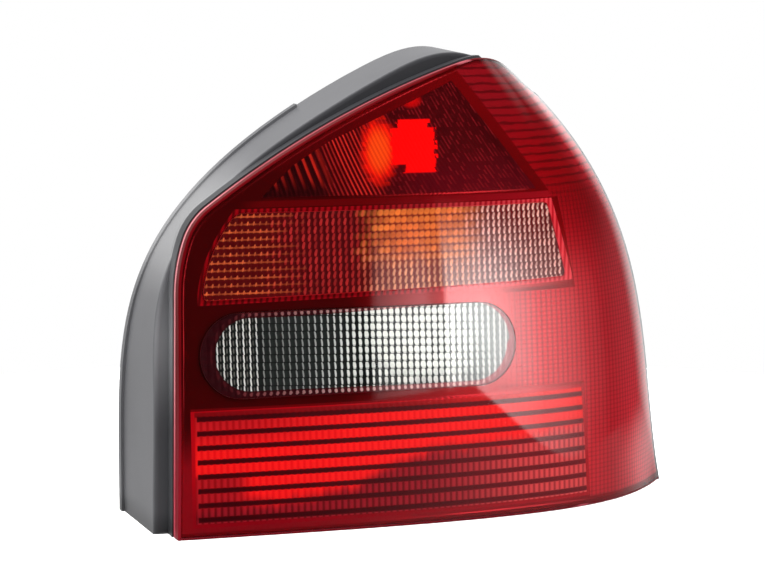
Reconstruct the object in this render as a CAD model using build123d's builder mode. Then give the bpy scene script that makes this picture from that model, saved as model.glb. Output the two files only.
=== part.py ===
from build123d import *
import os

# Rear lamp of a small hatchback, right-hand side, in millimetres.
# +X points outboard, +Y into the car body and +Z up. The origin lies on the mounting face,
# on the axis of the lower stud. Depths and heights below are measured from the lens's lower
# inboard front corner.

# Mounting face and studs
REAR = 104.0
LOWER_STUD_X = 45.0
LOWER_STUD_Z = 45.0
UPPER_STUD_X = 64.0
UPPER_STUD_Z = 178.0
OUTER_STUD_X = 262.0
OUTER_STUD_Z = 62.0
STUD_RADIUS = 3.0
STUD_REACH = 22.0
STUD_SHANK_RADIUS = 3.5
STUD_HEAD_RADIUS = 5.5
STUD_HEAD_DEPTH = 6.0
STUD_SEAT = 8.0
BOSS_RADIUS = 9.5
BOSS_DEPTH = 16.0

# Outer skin of the lens: four rows of four control points, listed from the bottom row up
SKIN_HEIGHTS = (-12.0, 88.0, 188.0, 288.0)
SKIN_START = -20.0
SKIN_END = 112.0
FRONT_DEPTHS = (-1.0, 2.0, 12.0, 32.0)
FLAT_ENDS = (240.0, 230.0, 231.0, 215.0)
TURN_WIDTHS = (284.0, 301.0, 281.0, 198.0)
TURN_DEPTHS = (19.0, 22.0, 25.0, 40.0)
SIDE_WIDTHS = (350.0, 323.0, 358.0, 210.0)

# Lens outline seen from the front
EDGE_TOP = (3.6, 140.0)
SHOULDER_MIDDLE = (9.8, 172.0)
SHOULDER_END = (23.7, 190.2)
DIAGONAL_END = (184.0, 271.6)
CROWN_END = (239.0, 258.5)
FAR_X = 400.0
FAR_Z = 165.0

# Lens walls, skirt and the leaning plane on which the lens meets the housing
LENS_WALL = 3.0
LENS_SIDE_WALL = 2.7
LENS_BACK = 102.0
SKIRT_WALL = 2.5
SEAM = 12.0
SEAM_LEAN_X = 0.08
SEAM_LEAN_Z = 0.07

# Windows in the lens
INDICATOR_LEFT = 17.5
INDICATOR_LEFT_PULL = (20.0, 165.0)
INDICATOR_TOP_LEFT = 39.5
INDICATOR_TOP = 187.0
INDICATOR_TOP_RIGHT = 239.5
INDICATOR_BOTTOM = 137.0
INDICATOR_RIGHT = 251.0
INDICATOR_RIGHT_BOTTOM = 141.5
INDICATOR_CORNER = 4.0
REVERSE_CENTRE_X = 114.0
REVERSE_CENTRE_Z = 105.0
REVERSE_LENGTH = 198.0
REVERSE_HEIGHT = 50.0

# Dark bars across the fog panel
BAR_COUNT = 8
BAR_PITCH = 8.35
BAR_HEIGHT = 2.4
BAR_DEPTH = 1.6
BAR_FIRST = 10.8
BAR_START = 12.5
BAR_END = 262.0

# Housing
HOUSING_WALL = 2.8
HOUSING_FIT = 0.3
RIM_OUT = 0.8
RIM_DEPTH = 16.0
RIM_INSET = 3.6
BAND_SETBACK = 10.0
BAND_ROUND = 2.5
BAND_FRONT = 20.0
BAND_FRONT_EDGE = (
    (-9.0, 0.0),
    (-6.2, 78.0),
    (0.0, 154.0),
    (15.3, 181.0),
    (39.7, 203.7),
    (100.0, 240.5),
    (143.0, 262.0),
    (176.0, 273.5),
    (208.0, 270.0),
)
BAND_BACK_EDGE = (
    (-11.2, 0.0),
    (-11.2, 57.0),
    (-2.4, 130.3),
    (9.6, 159.1),
    (43.4, 202.0),
    (99.0, 244.0),
    (140.3, 266.9),
    (179.0, 279.5),
    (208.0, 271.0),
)
BAND_END_SLOPE = (1.0, -0.55)
LIP_OUT = 1.6
LIP_DEPTH = 7.0
LIP_END = 98.0
WRAP_FLANGE_START = 205.0

# Rear opening, bulb carrier and seals
OPENING_X = 152.0
OPENING_Z = 129.0
OPENING_WIDTH = 92.0
OPENING_HEIGHT = 222.0
OPENING_ROUND = 24.0
COLLAR_WALL = 2.6
COLLAR_DEPTH = 8.0
SEAL_WIDTH = 4.0
SEAL_THICKNESS = 1.5
PLATE_LAP = 6.0
PLATE_THICKNESS = 3.0
RIM_WALL = 2.0
CARRIER_FIT = 0.3
CARRIER_RIM_DEPTH = 15.0
LATCH_WIDTH = 14.0
LATCH_OUT = 1.2
LATCH_SPACING = 110.0
PLATE_EDGE_WALL = 2.0
PLATE_EDGE_HEIGHT = 2.0
GRIP_WIDTH = 14.0
GRIP_THICKNESS = 2.5
GRIP_HEIGHT = 8.0
GRIP_INSET = 7.0
GASKET_GAP = 8.0
GASKET_WIDTH = 7.0
GASKET_THICKNESS = 5.0

# Bulbs and their sockets
STOP_ASIDE = 3.0
STOP_BELOW_TOP = 16.0
BULB_ASIDE = -2.0
INDICATOR_ABOVE_MIDDLE = 35.0
REVERSE_BELOW_MIDDLE = 24.0
FOG_ABOVE_BOTTOM = 23.0
GLASS_RADIUS = 12.5
NECK_RADIUS = 6.9
GLASS_CENTRE = 70.0
CAP_RADIUS = 7.6
CAP_FRONT = 84.0
CAP_LENGTH = 18.0
CAP_RECESS = 4.0
CONTACT_RADIUS = 3.0
CONTACT_LENGTH = 1.7
PEG_RADIUS = 1.0
PEG_LENGTH = 1.1
PEG_SETBACK = 7.0
SOCKET_FIT = 0.25
SOCKET_WALL = 2.6
SOCKET_FRONT = 82.0
CONTACT_GAP = 0.2
SLOT_WIDTH = 2.6

# Reflector
REFLECTOR_GAP = 7.0
REFLECTOR_WALL = 2.2
REFLECTOR_BACK = 80.0
REFLECTOR_END = 278.0
REFLECTOR_LIP = 24.0
BOWL_TURN = 44.0
BULB_HOLE = 13.6
STOP_MOUTH = ((60.0, 197.5), (232.0, 197.5), (184.0, 258.0), (172.0, 258.0))
STOP_FLOOR = ((138.0, 208.0), (176.0, 208.0), (174.0, 240.0), (150.0, 240.0))
INDICATOR_MOUTH = ((20.0, 138.5), (250.0, 142.0), (239.0, 185.0), (41.0, 186.0))
INDICATOR_FLOOR = ((128.0, 148.0), (172.0, 148.0), (172.0, 180.0), (128.0, 180.0))
REVERSE_MOUTH = ((17.0, 80.0), (212.0, 80.0), (212.0, 130.0), (17.0, 130.0))
REVERSE_FLOOR = ((126.0, 88.0), (174.0, 88.0), (174.0, 122.0), (126.0, 122.0))
FOG_MOUTH = ((12.0, 8.0), (262.0, 8.0), (262.0, 73.0), (12.0, 73.0))
FOG_FLOOR = ((126.0, 22.0), (174.0, 22.0), (174.0, 60.0), (126.0, 60.0))

# Plug socket and contact strips on the back of the carrier
PLUG_ABOVE_MIDDLE = 5.0
PLUG_WIDTH = 37.0
PLUG_HEIGHT = 19.0
PLUG_ROUND = 3.0
PLUG_WALL = 1.8
PLUG_DEPTH = 16.0
PIN_PITCH = 5.0
PIN_WIDTH = 2.8
PIN_THICKNESS = 0.8
PIN_LENGTH = 9.0
STRIP_WIDTH = 3.0
STRIP_THICKNESS = 0.8
STRIP_FIT = 0.1
GROUND_END = 12.0
FEED_OFFSET = 5.0

# Places worked out from the sizes above
BACK = (0, 1, 0)
THROW = 200.0
LEAD = 20.0
CORNER = Vector(-LOWER_STUD_X, -REAR, -LOWER_STUD_Z)
STUDS = ((LOWER_STUD_X, LOWER_STUD_Z), (UPPER_STUD_X, UPPER_STUD_Z), (OUTER_STUD_X, OUTER_STUD_Z))
PLATE_FRONT = REAR + SEAL_THICKNESS
PLATE_BACK = PLATE_FRONT + PLATE_THICKNESS
GRIP_SPACING = OPENING_WIDTH + 2 * (PLATE_LAP - GRIP_INSET)
RIM_FRONT = PLATE_FRONT - CARRIER_RIM_DEPTH
COLLAR_FRONT = REAR - HOUSING_WALL - COLLAR_DEPTH
SOCKET_BOTTOM = CAP_FRONT + CAP_LENGTH + CONTACT_LENGTH + CONTACT_GAP
STOP_X = OPENING_X + STOP_ASIDE
STOP_Z = OPENING_Z + OPENING_HEIGHT / 2 - STOP_BELOW_TOP
BULB_X = OPENING_X + BULB_ASIDE
INDICATOR_Z = OPENING_Z + INDICATOR_ABOVE_MIDDLE
REVERSE_Z = OPENING_Z - REVERSE_BELOW_MIDDLE
FOG_Z = OPENING_Z - OPENING_HEIGHT / 2 + FOG_ABOVE_BOTTOM
PLUG_Z = OPENING_Z + PLUG_ABOVE_MIDDLE
BULBS = {
    "stop_tail": (STOP_X, STOP_Z),
    "indicator": (BULB_X, INDICATOR_Z),
    "reverse": (BULB_X, REVERSE_Z),
    "fog": (BULB_X, FOG_Z),
}
BOWLS = (
    (STOP_MOUTH, STOP_FLOOR),
    (INDICATOR_MOUTH, INDICATOR_FLOOR),
    (REVERSE_MOUTH, REVERSE_FLOOR),
    (FOG_MOUTH, FOG_FLOOR),
)
# Each strip runs from its pin to its bulb; the order is the order of the pins
STRIP_ROUTES = {
    "fog": lambda pin: (pin, (pin[0], FOG_Z), (BULB_X, FOG_Z)),
    "indicator": lambda pin: (pin, (pin[0], INDICATOR_Z), (BULB_X, INDICATOR_Z)),
    "reverse": lambda pin: (pin, (pin[0], REVERSE_Z)),
    "tail": lambda pin: (pin, (pin[0], STOP_Z - FEED_OFFSET)),
    "stop": lambda pin: (pin, (pin[0], STOP_Z + FEED_OFFSET), (STOP_X, STOP_Z + FEED_OFFSET)),
    "ground": lambda pin: ((pin[0], FOG_Z - GROUND_END), (pin[0], STOP_Z + GROUND_END)),
}


def lamp(x, depth, z):
    """Point at a width, depth and height from the lens's lower inboard front corner."""
    return CORNER + Vector(x, depth, z)


def upright(depth):
    """Plane facing the viewer at a depth, with its own x outboard and its own y up."""
    return Plane(lamp(0, depth, 0), x_dir=(1, 0, 0), z_dir=(0, -1, 0))


def leaning(depth):
    """Plane parallel to the seam between lens and housing."""
    return Plane(lamp(0, depth, 0), x_dir=(1, SEAM_LEAN_X, 0), z_dir=(-SEAM_LEAN_X, 1, -SEAM_LEAN_Z))


def skin(inward, back):
    """Outer skin of the lens, moved inboard and back."""
    rows = zip(SKIN_HEIGHTS, FRONT_DEPTHS, FLAT_ENDS, TURN_WIDTHS, TURN_DEPTHS, SIDE_WIDTHS)
    return Face.make_bezier_surface(
        [
            [
                lamp(SKIN_START - inward, front + back, z),
                lamp(flat - inward, front + back, z),
                lamp(turn - inward, turn_depth + back, z),
                lamp(side - inward, SKIN_END + back, z),
            ]
            for z, front, flat, turn, turn_depth, side in rows
        ]
    )


def lens_outline(depth, inset):
    """Front outline of the lens, open to the far right, shrunk by an inset."""
    with BuildSketch(upright(depth)) as outline:
        with BuildLine():
            edge = Line((0, 0), EDGE_TOP)
            lower_shoulder = TangentArc(EDGE_TOP, SHOULDER_MIDDLE, tangent=edge % 1)
            upper_shoulder = TangentArc(SHOULDER_MIDDLE, SHOULDER_END, tangent=lower_shoulder % 1)
            diagonal = TangentArc(SHOULDER_END, DIAGONAL_END, tangent=upper_shoulder % 1)
            TangentArc(DIAGONAL_END, CROWN_END, tangent=diagonal % 1)
            Polyline(CROWN_END, (FAR_X, FAR_Z), (FAR_X, 0), (0, 0))
        make_face()
        if inset:
            offset(amount=-inset, mode=Mode.REPLACE)
    return outline.sketch


def inset_points(points, inset):
    """Points of an open outline moved to its right-hand side."""
    moved = []
    for number, (x, z) in enumerate(points):
        before = points[max(number - 1, 0)]
        after = points[min(number + 1, len(points) - 1)]
        along = (Vector(*after) - Vector(*before)).normalized()
        moved.append((x + along.Y * inset, z - along.X * inset))
    return moved


def band_outline(depth, points, inset):
    """Outline of the housing's wide band at a depth, open to the far right."""
    edge = inset_points(points, inset)
    edge[0] = (edge[0][0], max(inset, 0))
    with BuildSketch(upright(depth)) as outline:
        with BuildLine():
            Spline(*edge, tangents=((0, 1), BAND_END_SLOPE))
            Polyline(edge[-1], (FAR_X, FAR_Z - inset), (FAR_X, edge[0][1]), edge[0])
        make_face()
    return outline.sketch


def opening_outline(depth, growth):
    """Rear opening of the housing, grown on all sides."""
    width = OPENING_WIDTH + 2 * growth
    height = OPENING_HEIGHT + 2 * growth
    with BuildSketch(upright(depth)) as outline:
        with Locations((OPENING_X, OPENING_Z)):
            RectangleRounded(width, height, OPENING_ROUND + growth)
    return outline.sketch


def corners_outline(depth, corners, growth):
    """Four-cornered outline on an upright plane, grown on all sides."""
    with BuildSketch(upright(depth)) as outline:
        with BuildLine():
            Polyline(*corners, close=True)
        make_face()
        if growth:
            offset(amount=growth, kind=Kind.INTERSECTION, mode=Mode.REPLACE)
    return outline.sketch


def indicator_outline(depth):
    """Indicator window, its inboard end curved along the lens's shoulder."""
    with BuildSketch(upright(depth)) as outline:
        with BuildLine():
            Bezier(
                (INDICATOR_LEFT, INDICATOR_BOTTOM),
                INDICATOR_LEFT_PULL,
                (INDICATOR_TOP_LEFT, INDICATOR_TOP),
            )
            Polyline(
                (INDICATOR_TOP_LEFT, INDICATOR_TOP),
                (INDICATOR_TOP_RIGHT, INDICATOR_TOP),
                (INDICATOR_RIGHT, INDICATOR_RIGHT_BOTTOM),
                (INDICATOR_LEFT, INDICATOR_BOTTOM),
            )
        make_face()
        fillet(outline.vertices(), INDICATOR_CORNER)
    return outline.sketch


def reverse_outline(depth):
    """Reverse window with its round ends."""
    with BuildSketch(upright(depth)) as outline:
        with Locations((REVERSE_CENTRE_X, REVERSE_CENTRE_Z)):
            SlotOverall(REVERSE_LENGTH, REVERSE_HEIGHT)
    return outline.sketch


outer_skin = skin(0, 0)
inner_skin = skin(LENS_SIDE_WALL, LENS_WALL)
lens_face = lens_outline(-LEAD, 0)
indicator_face = indicator_outline(-LEAD)
reverse_face = reverse_outline(-LEAD)

# Hollow behind the lens: inside the skirt as far as the seam, and everything behind the seam
with BuildPart() as lens_hollow:
    extrude(lens_outline(-LEAD, -LEAD), amount=THROW, dir=BACK)
    split(bisect_by=leaning(SEAM), keep=Keep.TOP)
    extrude(lens_outline(-LEAD, SKIRT_WALL), amount=THROW, dir=BACK)
    extrude(inner_skin, amount=THROW, dir=BACK, mode=Mode.INTERSECT)

# Whole lens before its colours are parted
with BuildPart() as whole_lens:
    extrude(outer_skin, amount=THROW, dir=BACK)
    extrude(lens_face, amount=LEAD + LENS_BACK, dir=BACK, mode=Mode.INTERSECT)
    add(lens_hollow.part, mode=Mode.SUBTRACT)

with BuildPart() as red_lens:
    add(whole_lens.part)
    extrude(indicator_face, amount=THROW, dir=BACK, mode=Mode.SUBTRACT)
    extrude(reverse_face, amount=THROW, dir=BACK, mode=Mode.SUBTRACT)

with BuildPart() as indicator_lens:
    add(whole_lens.part)
    extrude(indicator_face, amount=THROW, dir=BACK, mode=Mode.INTERSECT)

with BuildPart() as reverse_lens:
    add(whole_lens.part)
    extrude(reverse_face, amount=THROW, dir=BACK, mode=Mode.INTERSECT)

# Dark bars lying against the inside of the fog panel
with BuildPart() as fog_stripe_bars:
    extrude(inner_skin, amount=THROW, dir=BACK)
    extrude(skin(LENS_SIDE_WALL, LENS_WALL + BAR_DEPTH), amount=THROW, dir=BACK, mode=Mode.SUBTRACT)
    with BuildSketch(upright(-LEAD)):
        for number in range(BAR_COUNT):
            height = BAR_FIRST + number * BAR_PITCH
            with Locations(((BAR_START + BAR_END) / 2, height)):
                Rectangle(BAR_END - BAR_START, BAR_HEIGHT)
    extrude(amount=THROW, dir=BACK, mode=Mode.INTERSECT)

# Inside of the housing: a tapering room, and the straight mouth in front of it
with BuildPart() as housing_mouth:
    extrude(lens_outline(0, RIM_INSET), amount=THROW, dir=BACK)
    split(bisect_by=leaning(SEAM + RIM_DEPTH), keep=Keep.BOTTOM)

with BuildPart() as housing_room:
    loft(
        [
            band_outline(BAND_FRONT, BAND_FRONT_EDGE, HOUSING_WALL),
            band_outline(REAR - HOUSING_WALL, BAND_BACK_EDGE, HOUSING_WALL),
        ]
    )
    split(bisect_by=leaning(SEAM + RIM_DEPTH - HOUSING_WALL), keep=Keep.TOP)
    extrude(
        skin(LENS_SIDE_WALL + HOUSING_FIT + HOUSING_WALL, LENS_WALL),
        amount=THROW,
        dir=BACK,
        mode=Mode.INTERSECT,
    )
    add(housing_mouth.part)

# Narrow band of the housing beside the lens
with BuildPart() as housing_rim:
    extrude(lens_outline(0, -RIM_OUT), amount=THROW, dir=BACK)
    split(bisect_by=leaning(SEAM), keep=Keep.TOP)
    split(bisect_by=leaning(SEAM + RIM_DEPTH), keep=Keep.BOTTOM)
    split(bisect_by=Plane(lamp(0, 0, 0)), keep=Keep.TOP)
    with BuildSketch(upright(0)):
        with BuildLine():
            Polyline(
                (SKIN_START, 0),
                (SKIN_START, SKIN_HEIGHTS[-1]),
                (DIAGONAL_END[0], SKIN_HEIGHTS[-1]),
                BAND_FRONT_EDGE[-1],
                (FAR_X, FAR_Z),
                (FAR_X, 0),
                close=True,
            )
        make_face()
    extrude(amount=THROW, dir=BACK, mode=Mode.INTERSECT)

# Lip along the rear edge of the wide band, ending in a notch before the hump
with BuildPart() as housing_lip:
    extrude(band_outline(REAR - LIP_DEPTH, BAND_BACK_EDGE, -LIP_OUT), amount=LIP_DEPTH, dir=BACK)
    split(bisect_by=Plane(lamp(0, 0, 0)), keep=Keep.TOP)
    split(bisect_by=Plane(lamp(LIP_END, 0, 0), z_dir=(1, 0, 0)), keep=Keep.BOTTOM)

# Flange that closes the rear edge of the lens's side
with BuildPart() as wrap_flange:
    extrude(outer_skin, amount=THROW, dir=BACK)
    extrude(lens_outline(LENS_BACK, 0), amount=REAR - LENS_BACK, dir=BACK, mode=Mode.INTERSECT)
    split(bisect_by=Plane(lamp(WRAP_FLANGE_START, 0, 0), z_dir=(1, 0, 0)), keep=Keep.TOP)

with BuildPart() as housing:
    loft(
        [
            band_outline(BAND_FRONT - LEAD, BAND_FRONT_EDGE, 0),
            band_outline(REAR, BAND_BACK_EDGE, 0),
        ]
    )
    split(bisect_by=leaning(SEAM + BAND_SETBACK), keep=Keep.TOP)
    front_edges = housing.faces().sort_by(Axis.Y)[0].edges()
    fillet(front_edges.filter_by(GeomType.LINE, reverse=True), BAND_ROUND)
    add(housing_rim.part)
    add(housing_lip.part)
    extrude(
        skin(LENS_SIDE_WALL + HOUSING_FIT, LENS_WALL),
        amount=THROW,
        dir=BACK,
        mode=Mode.INTERSECT,
    )
    split(bisect_by=upright(REAR), keep=Keep.TOP)
    add(housing_room.part, mode=Mode.SUBTRACT)
    add(wrap_flange.part)
    extrude(opening_outline(COLLAR_FRONT, COLLAR_WALL), amount=REAR - COLLAR_FRONT, dir=BACK)
    extrude(opening_outline(COLLAR_FRONT, 0), amount=THROW, dir=BACK, mode=Mode.SUBTRACT)
    with BuildSketch(upright(REAR - BOSS_DEPTH)):
        with Locations(*STUDS):
            Circle(BOSS_RADIUS)
    extrude(amount=BOSS_DEPTH, dir=BACK)
    with BuildSketch(upright(REAR - BOSS_DEPTH)):
        with Locations(*STUDS):
            Circle(STUD_HEAD_RADIUS)
    extrude(amount=BOSS_DEPTH - STUD_SEAT, dir=BACK, mode=Mode.SUBTRACT)
    with BuildSketch(upright(REAR - BOSS_DEPTH)):
        with Locations(*STUDS):
            Circle(STUD_SHANK_RADIUS)
    extrude(amount=BOSS_DEPTH, dir=BACK, mode=Mode.SUBTRACT)

# Threaded studs, pressed into the bosses from the inside
with BuildPart() as mounting_studs:
    with BuildSketch(upright(REAR - STUD_SEAT - STUD_HEAD_DEPTH)):
        with Locations(*STUDS):
            Circle(STUD_HEAD_RADIUS)
    extrude(amount=STUD_HEAD_DEPTH, dir=BACK)
    with BuildSketch(upright(REAR - STUD_SEAT)):
        with Locations(*STUDS):
            Circle(STUD_SHANK_RADIUS)
    extrude(amount=STUD_SEAT, dir=BACK)
    with BuildSketch(upright(REAR)):
        with Locations(*STUDS):
            Circle(STUD_RADIUS)
    extrude(amount=STUD_REACH, dir=BACK)

# Foam ring that seals the lamp against the car's panel
with BuildPart() as body_gasket:
    extrude(opening_outline(REAR, GASKET_GAP + GASKET_WIDTH), amount=GASKET_THICKNESS, dir=BACK)
    extrude(opening_outline(REAR, GASKET_GAP), amount=GASKET_THICKNESS, dir=BACK, mode=Mode.SUBTRACT)

# Rubber ring between the carrier and the housing
with BuildPart() as carrier_seal:
    extrude(opening_outline(REAR, SEAL_WIDTH + CARRIER_FIT), amount=SEAL_THICKNESS, dir=BACK)
    extrude(opening_outline(REAR, CARRIER_FIT), amount=SEAL_THICKNESS, dir=BACK, mode=Mode.SUBTRACT)

# Metallised reflector: a front sheet behind the lens with one bowl for each bulb
with BuildPart() as reflector_hollow:
    extrude(
        skin(REFLECTOR_GAP + REFLECTOR_WALL, REFLECTOR_GAP + REFLECTOR_WALL),
        amount=THROW,
        dir=BACK,
    )
    extrude(
        lens_outline(-LEAD, RIM_INSET + HOUSING_FIT + REFLECTOR_WALL),
        amount=THROW,
        dir=BACK,
        mode=Mode.INTERSECT,
    )

with BuildPart() as reflector:
    extrude(lens_outline(-LEAD, RIM_INSET + HOUSING_FIT), amount=THROW, dir=BACK)
    split(bisect_by=leaning(REFLECTOR_LIP), keep=Keep.BOTTOM)
    split(bisect_by=Plane(lamp(REFLECTOR_END, 0, 0), z_dir=(1, 0, 0)), keep=Keep.BOTTOM)
    add(reflector_hollow.part, mode=Mode.SUBTRACT)
    for mouth, floor in BOWLS:
        extrude(corners_outline(-LEAD, mouth, REFLECTOR_WALL), amount=LEAD + BOWL_TURN, dir=BACK)
        loft(
            [
                corners_outline(BOWL_TURN, mouth, REFLECTOR_WALL),
                corners_outline(REFLECTOR_BACK, floor, REFLECTOR_WALL),
            ]
        )
    extrude(skin(REFLECTOR_GAP, REFLECTOR_GAP), amount=THROW, dir=BACK, mode=Mode.INTERSECT)
    for mouth, floor in BOWLS:
        extrude(corners_outline(-LEAD, mouth, 0), amount=LEAD + BOWL_TURN, dir=BACK, mode=Mode.SUBTRACT)
        loft(
            [
                corners_outline(BOWL_TURN, mouth, 0),
                corners_outline(REFLECTOR_BACK - REFLECTOR_WALL, floor, 0),
            ],
            mode=Mode.SUBTRACT,
        )
    with BuildSketch(upright(0)):
        with Locations(*BULBS.values()):
            Circle(BULB_HOLE)
    extrude(amount=THROW, dir=BACK, mode=Mode.SUBTRACT)

# Contact strips, each a track in the carrier's back with a blade in the plug socket
strip_faces = {}
strips = {}
for number, (name, route) in enumerate(STRIP_ROUTES.items()):
    pin = (OPENING_X + (number - (len(STRIP_ROUTES) - 1) / 2) * PIN_PITCH, PLUG_Z)
    with BuildSketch(upright(PLATE_BACK - STRIP_THICKNESS)) as track:
        with BuildLine():
            Polyline(*route(pin))
        trace(line_width=STRIP_WIDTH)
    strip_faces[name] = track.sketch
    with BuildPart() as strip:
        extrude(track.sketch, amount=STRIP_THICKNESS, dir=BACK)
        with BuildSketch(upright(PLATE_BACK)):
            with Locations(pin):
                Rectangle(PIN_WIDTH, PIN_THICKNESS)
        extrude(amount=PIN_LENGTH, dir=BACK)
    strips[name] = strip

# Bulb carrier: plate with a raised edge and finger grips at the back, a rim and snap noses that
# clip into the opening, and four sockets
with BuildPart() as bulb_carrier:
    extrude(
        opening_outline(PLATE_FRONT, PLATE_LAP),
        amount=PLATE_THICKNESS + PLATE_EDGE_HEIGHT,
        dir=BACK,
    )
    extrude(
        opening_outline(PLATE_BACK, PLATE_LAP - PLATE_EDGE_WALL),
        amount=PLATE_EDGE_HEIGHT,
        dir=BACK,
        mode=Mode.SUBTRACT,
    )
    with BuildSketch(upright(PLATE_BACK)):
        with Locations((OPENING_X, OPENING_Z)):
            with GridLocations(GRIP_SPACING, LATCH_SPACING, 2, 2):
                Rectangle(GRIP_THICKNESS, GRIP_WIDTH)
    extrude(amount=GRIP_HEIGHT, dir=BACK)
    extrude(opening_outline(RIM_FRONT, -CARRIER_FIT), amount=CARRIER_RIM_DEPTH, dir=BACK)
    with BuildSketch(upright(RIM_FRONT)):
        for side in (-1, 1):
            with Locations((OPENING_X, OPENING_Z + side * LATCH_SPACING / 2)):
                Rectangle(OPENING_WIDTH + 2 * LATCH_OUT, LATCH_WIDTH)
    extrude(amount=COLLAR_FRONT - CARRIER_FIT - RIM_FRONT, dir=BACK)
    extrude(
        opening_outline(RIM_FRONT, -CARRIER_FIT - RIM_WALL),
        amount=CARRIER_RIM_DEPTH,
        dir=BACK,
        mode=Mode.SUBTRACT,
    )
    with BuildSketch(upright(SOCKET_FRONT)):
        with Locations(*BULBS.values()):
            Circle(CAP_RADIUS + SOCKET_FIT + SOCKET_WALL)
    extrude(amount=PLATE_FRONT - SOCKET_FRONT, dir=BACK)
    with BuildSketch(upright(SOCKET_FRONT)):
        with Locations(*BULBS.values()):
            Circle(CAP_RADIUS + SOCKET_FIT)
            Rectangle(2 * (CAP_RADIUS + PEG_LENGTH + SOCKET_FIT), SLOT_WIDTH)
    extrude(amount=SOCKET_BOTTOM - SOCKET_FRONT, dir=BACK, mode=Mode.SUBTRACT)
    for face in strip_faces.values():
        groove = offset(face, STRIP_FIT, mode=Mode.PRIVATE)
        extrude(groove, amount=STRIP_THICKNESS, dir=BACK, mode=Mode.SUBTRACT)

# Socket for the car's own plug
with BuildPart() as plug_socket:
    with BuildSketch(upright(PLATE_BACK)):
        with Locations((OPENING_X, PLUG_Z)):
            RectangleRounded(PLUG_WIDTH, PLUG_HEIGHT, PLUG_ROUND)
            RectangleRounded(
                PLUG_WIDTH - 2 * PLUG_WALL,
                PLUG_HEIGHT - 2 * PLUG_WALL,
                PLUG_ROUND - PLUG_WALL,
                mode=Mode.SUBTRACT,
            )
    extrude(amount=PLUG_DEPTH, dir=BACK)

# Bulbs: blown glass seated in a metal cap with two bayonet pegs
glasses = {}
caps = {}
for name, (bulb_x, bulb_z) in BULBS.items():
    axis_plane = Plane(lamp(bulb_x, CAP_FRONT, bulb_z), x_dir=BACK, z_dir=(1, 0, 0))
    spindle = Axis(lamp(bulb_x, CAP_FRONT, bulb_z), BACK)
    neck_start = GLASS_CENTRE - CAP_FRONT + (GLASS_RADIUS**2 - NECK_RADIUS**2) ** 0.5
    with BuildPart() as glass:
        with BuildSketch(axis_plane):
            with BuildLine():
                Polyline(
                    (GLASS_CENTRE - GLASS_RADIUS - CAP_FRONT, 0),
                    (CAP_RECESS, 0),
                    (CAP_RECESS, NECK_RADIUS),
                    (neck_start, NECK_RADIUS),
                )
                ThreePointArc(
                    (neck_start, NECK_RADIUS),
                    (GLASS_CENTRE - CAP_FRONT, GLASS_RADIUS),
                    (GLASS_CENTRE - GLASS_RADIUS - CAP_FRONT, 0),
                )
            make_face()
        revolve(axis=spindle)
    with BuildPart() as cap:
        with BuildSketch(upright(CAP_FRONT)):
            with Locations((bulb_x, bulb_z)):
                Circle(CAP_RADIUS)
        extrude(amount=CAP_LENGTH, dir=BACK)
        with BuildSketch(upright(CAP_FRONT)):
            with Locations((bulb_x, bulb_z)):
                Circle(NECK_RADIUS)
        extrude(amount=CAP_RECESS, dir=BACK, mode=Mode.SUBTRACT)
        with BuildSketch(upright(CAP_FRONT + CAP_LENGTH)):
            with Locations((bulb_x, bulb_z)):
                Circle(CONTACT_RADIUS)
        extrude(amount=CONTACT_LENGTH, dir=BACK)
        with BuildSketch(Plane(lamp(bulb_x, CAP_FRONT + PEG_SETBACK, bulb_z), z_dir=(1, 0, 0))):
            Circle(PEG_RADIUS)
        extrude(amount=CAP_RADIUS + PEG_LENGTH, both=True)
    glasses[name] = glass
    caps[name] = cap

os.makedirs("parts", exist_ok=True)
nodes = {
    "red_lens": red_lens,
    "indicator_lens": indicator_lens,
    "reverse_lens": reverse_lens,
    "fog_stripe_bars": fog_stripe_bars,
    "housing": housing,
    "mounting_studs": mounting_studs,
    "body_gasket": body_gasket,
    "carrier_seal": carrier_seal,
    "reflector": reflector,
    "bulb_carrier": bulb_carrier,
    "plug_socket": plug_socket,
}
nodes.update({f"{name}_strip": strip for name, strip in strips.items()})
nodes.update({f"{name}_bulb_glass": glass for name, glass in glasses.items()})
nodes.update({f"{name}_bulb_cap": cap for name, cap in caps.items()})
for name, piece in nodes.items():
    piece.part.label = name
    export_step(piece.part, f"parts/{name}.step")
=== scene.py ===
import cmath
import math

import bpy
import numpy as np
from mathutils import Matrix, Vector
from mathutils.kdtree import KDTree


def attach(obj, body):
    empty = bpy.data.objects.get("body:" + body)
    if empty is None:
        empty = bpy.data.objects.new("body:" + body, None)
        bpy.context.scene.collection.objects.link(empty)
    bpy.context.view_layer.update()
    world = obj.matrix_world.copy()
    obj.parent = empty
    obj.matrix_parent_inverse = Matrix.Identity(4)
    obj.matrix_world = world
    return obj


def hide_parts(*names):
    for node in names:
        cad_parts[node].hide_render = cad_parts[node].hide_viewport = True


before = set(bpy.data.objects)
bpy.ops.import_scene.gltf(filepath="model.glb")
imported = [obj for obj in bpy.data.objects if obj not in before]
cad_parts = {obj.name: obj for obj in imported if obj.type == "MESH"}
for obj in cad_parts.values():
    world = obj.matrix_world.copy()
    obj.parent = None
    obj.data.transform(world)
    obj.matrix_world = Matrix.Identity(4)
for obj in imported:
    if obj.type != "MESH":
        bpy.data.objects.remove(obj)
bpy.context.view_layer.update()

# Lens sizes in millimetres, measured from its lower inboard front corner as in the part's source
MILLIMETRE = 0.001
CORNER = np.array((-45.0, -104.0, -45.0))
SKIN_BOTTOM = -12.0
SKIN_RISE = 300.0
NET_X = np.array(
    (
        (-20.0, 240.0, 284.0, 350.0),
        (-20.0, 230.0, 301.0, 323.0),
        (-20.0, 231.0, 281.0, 358.0),
        (-20.0, 215.0, 198.0, 210.0),
    )
)
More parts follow.
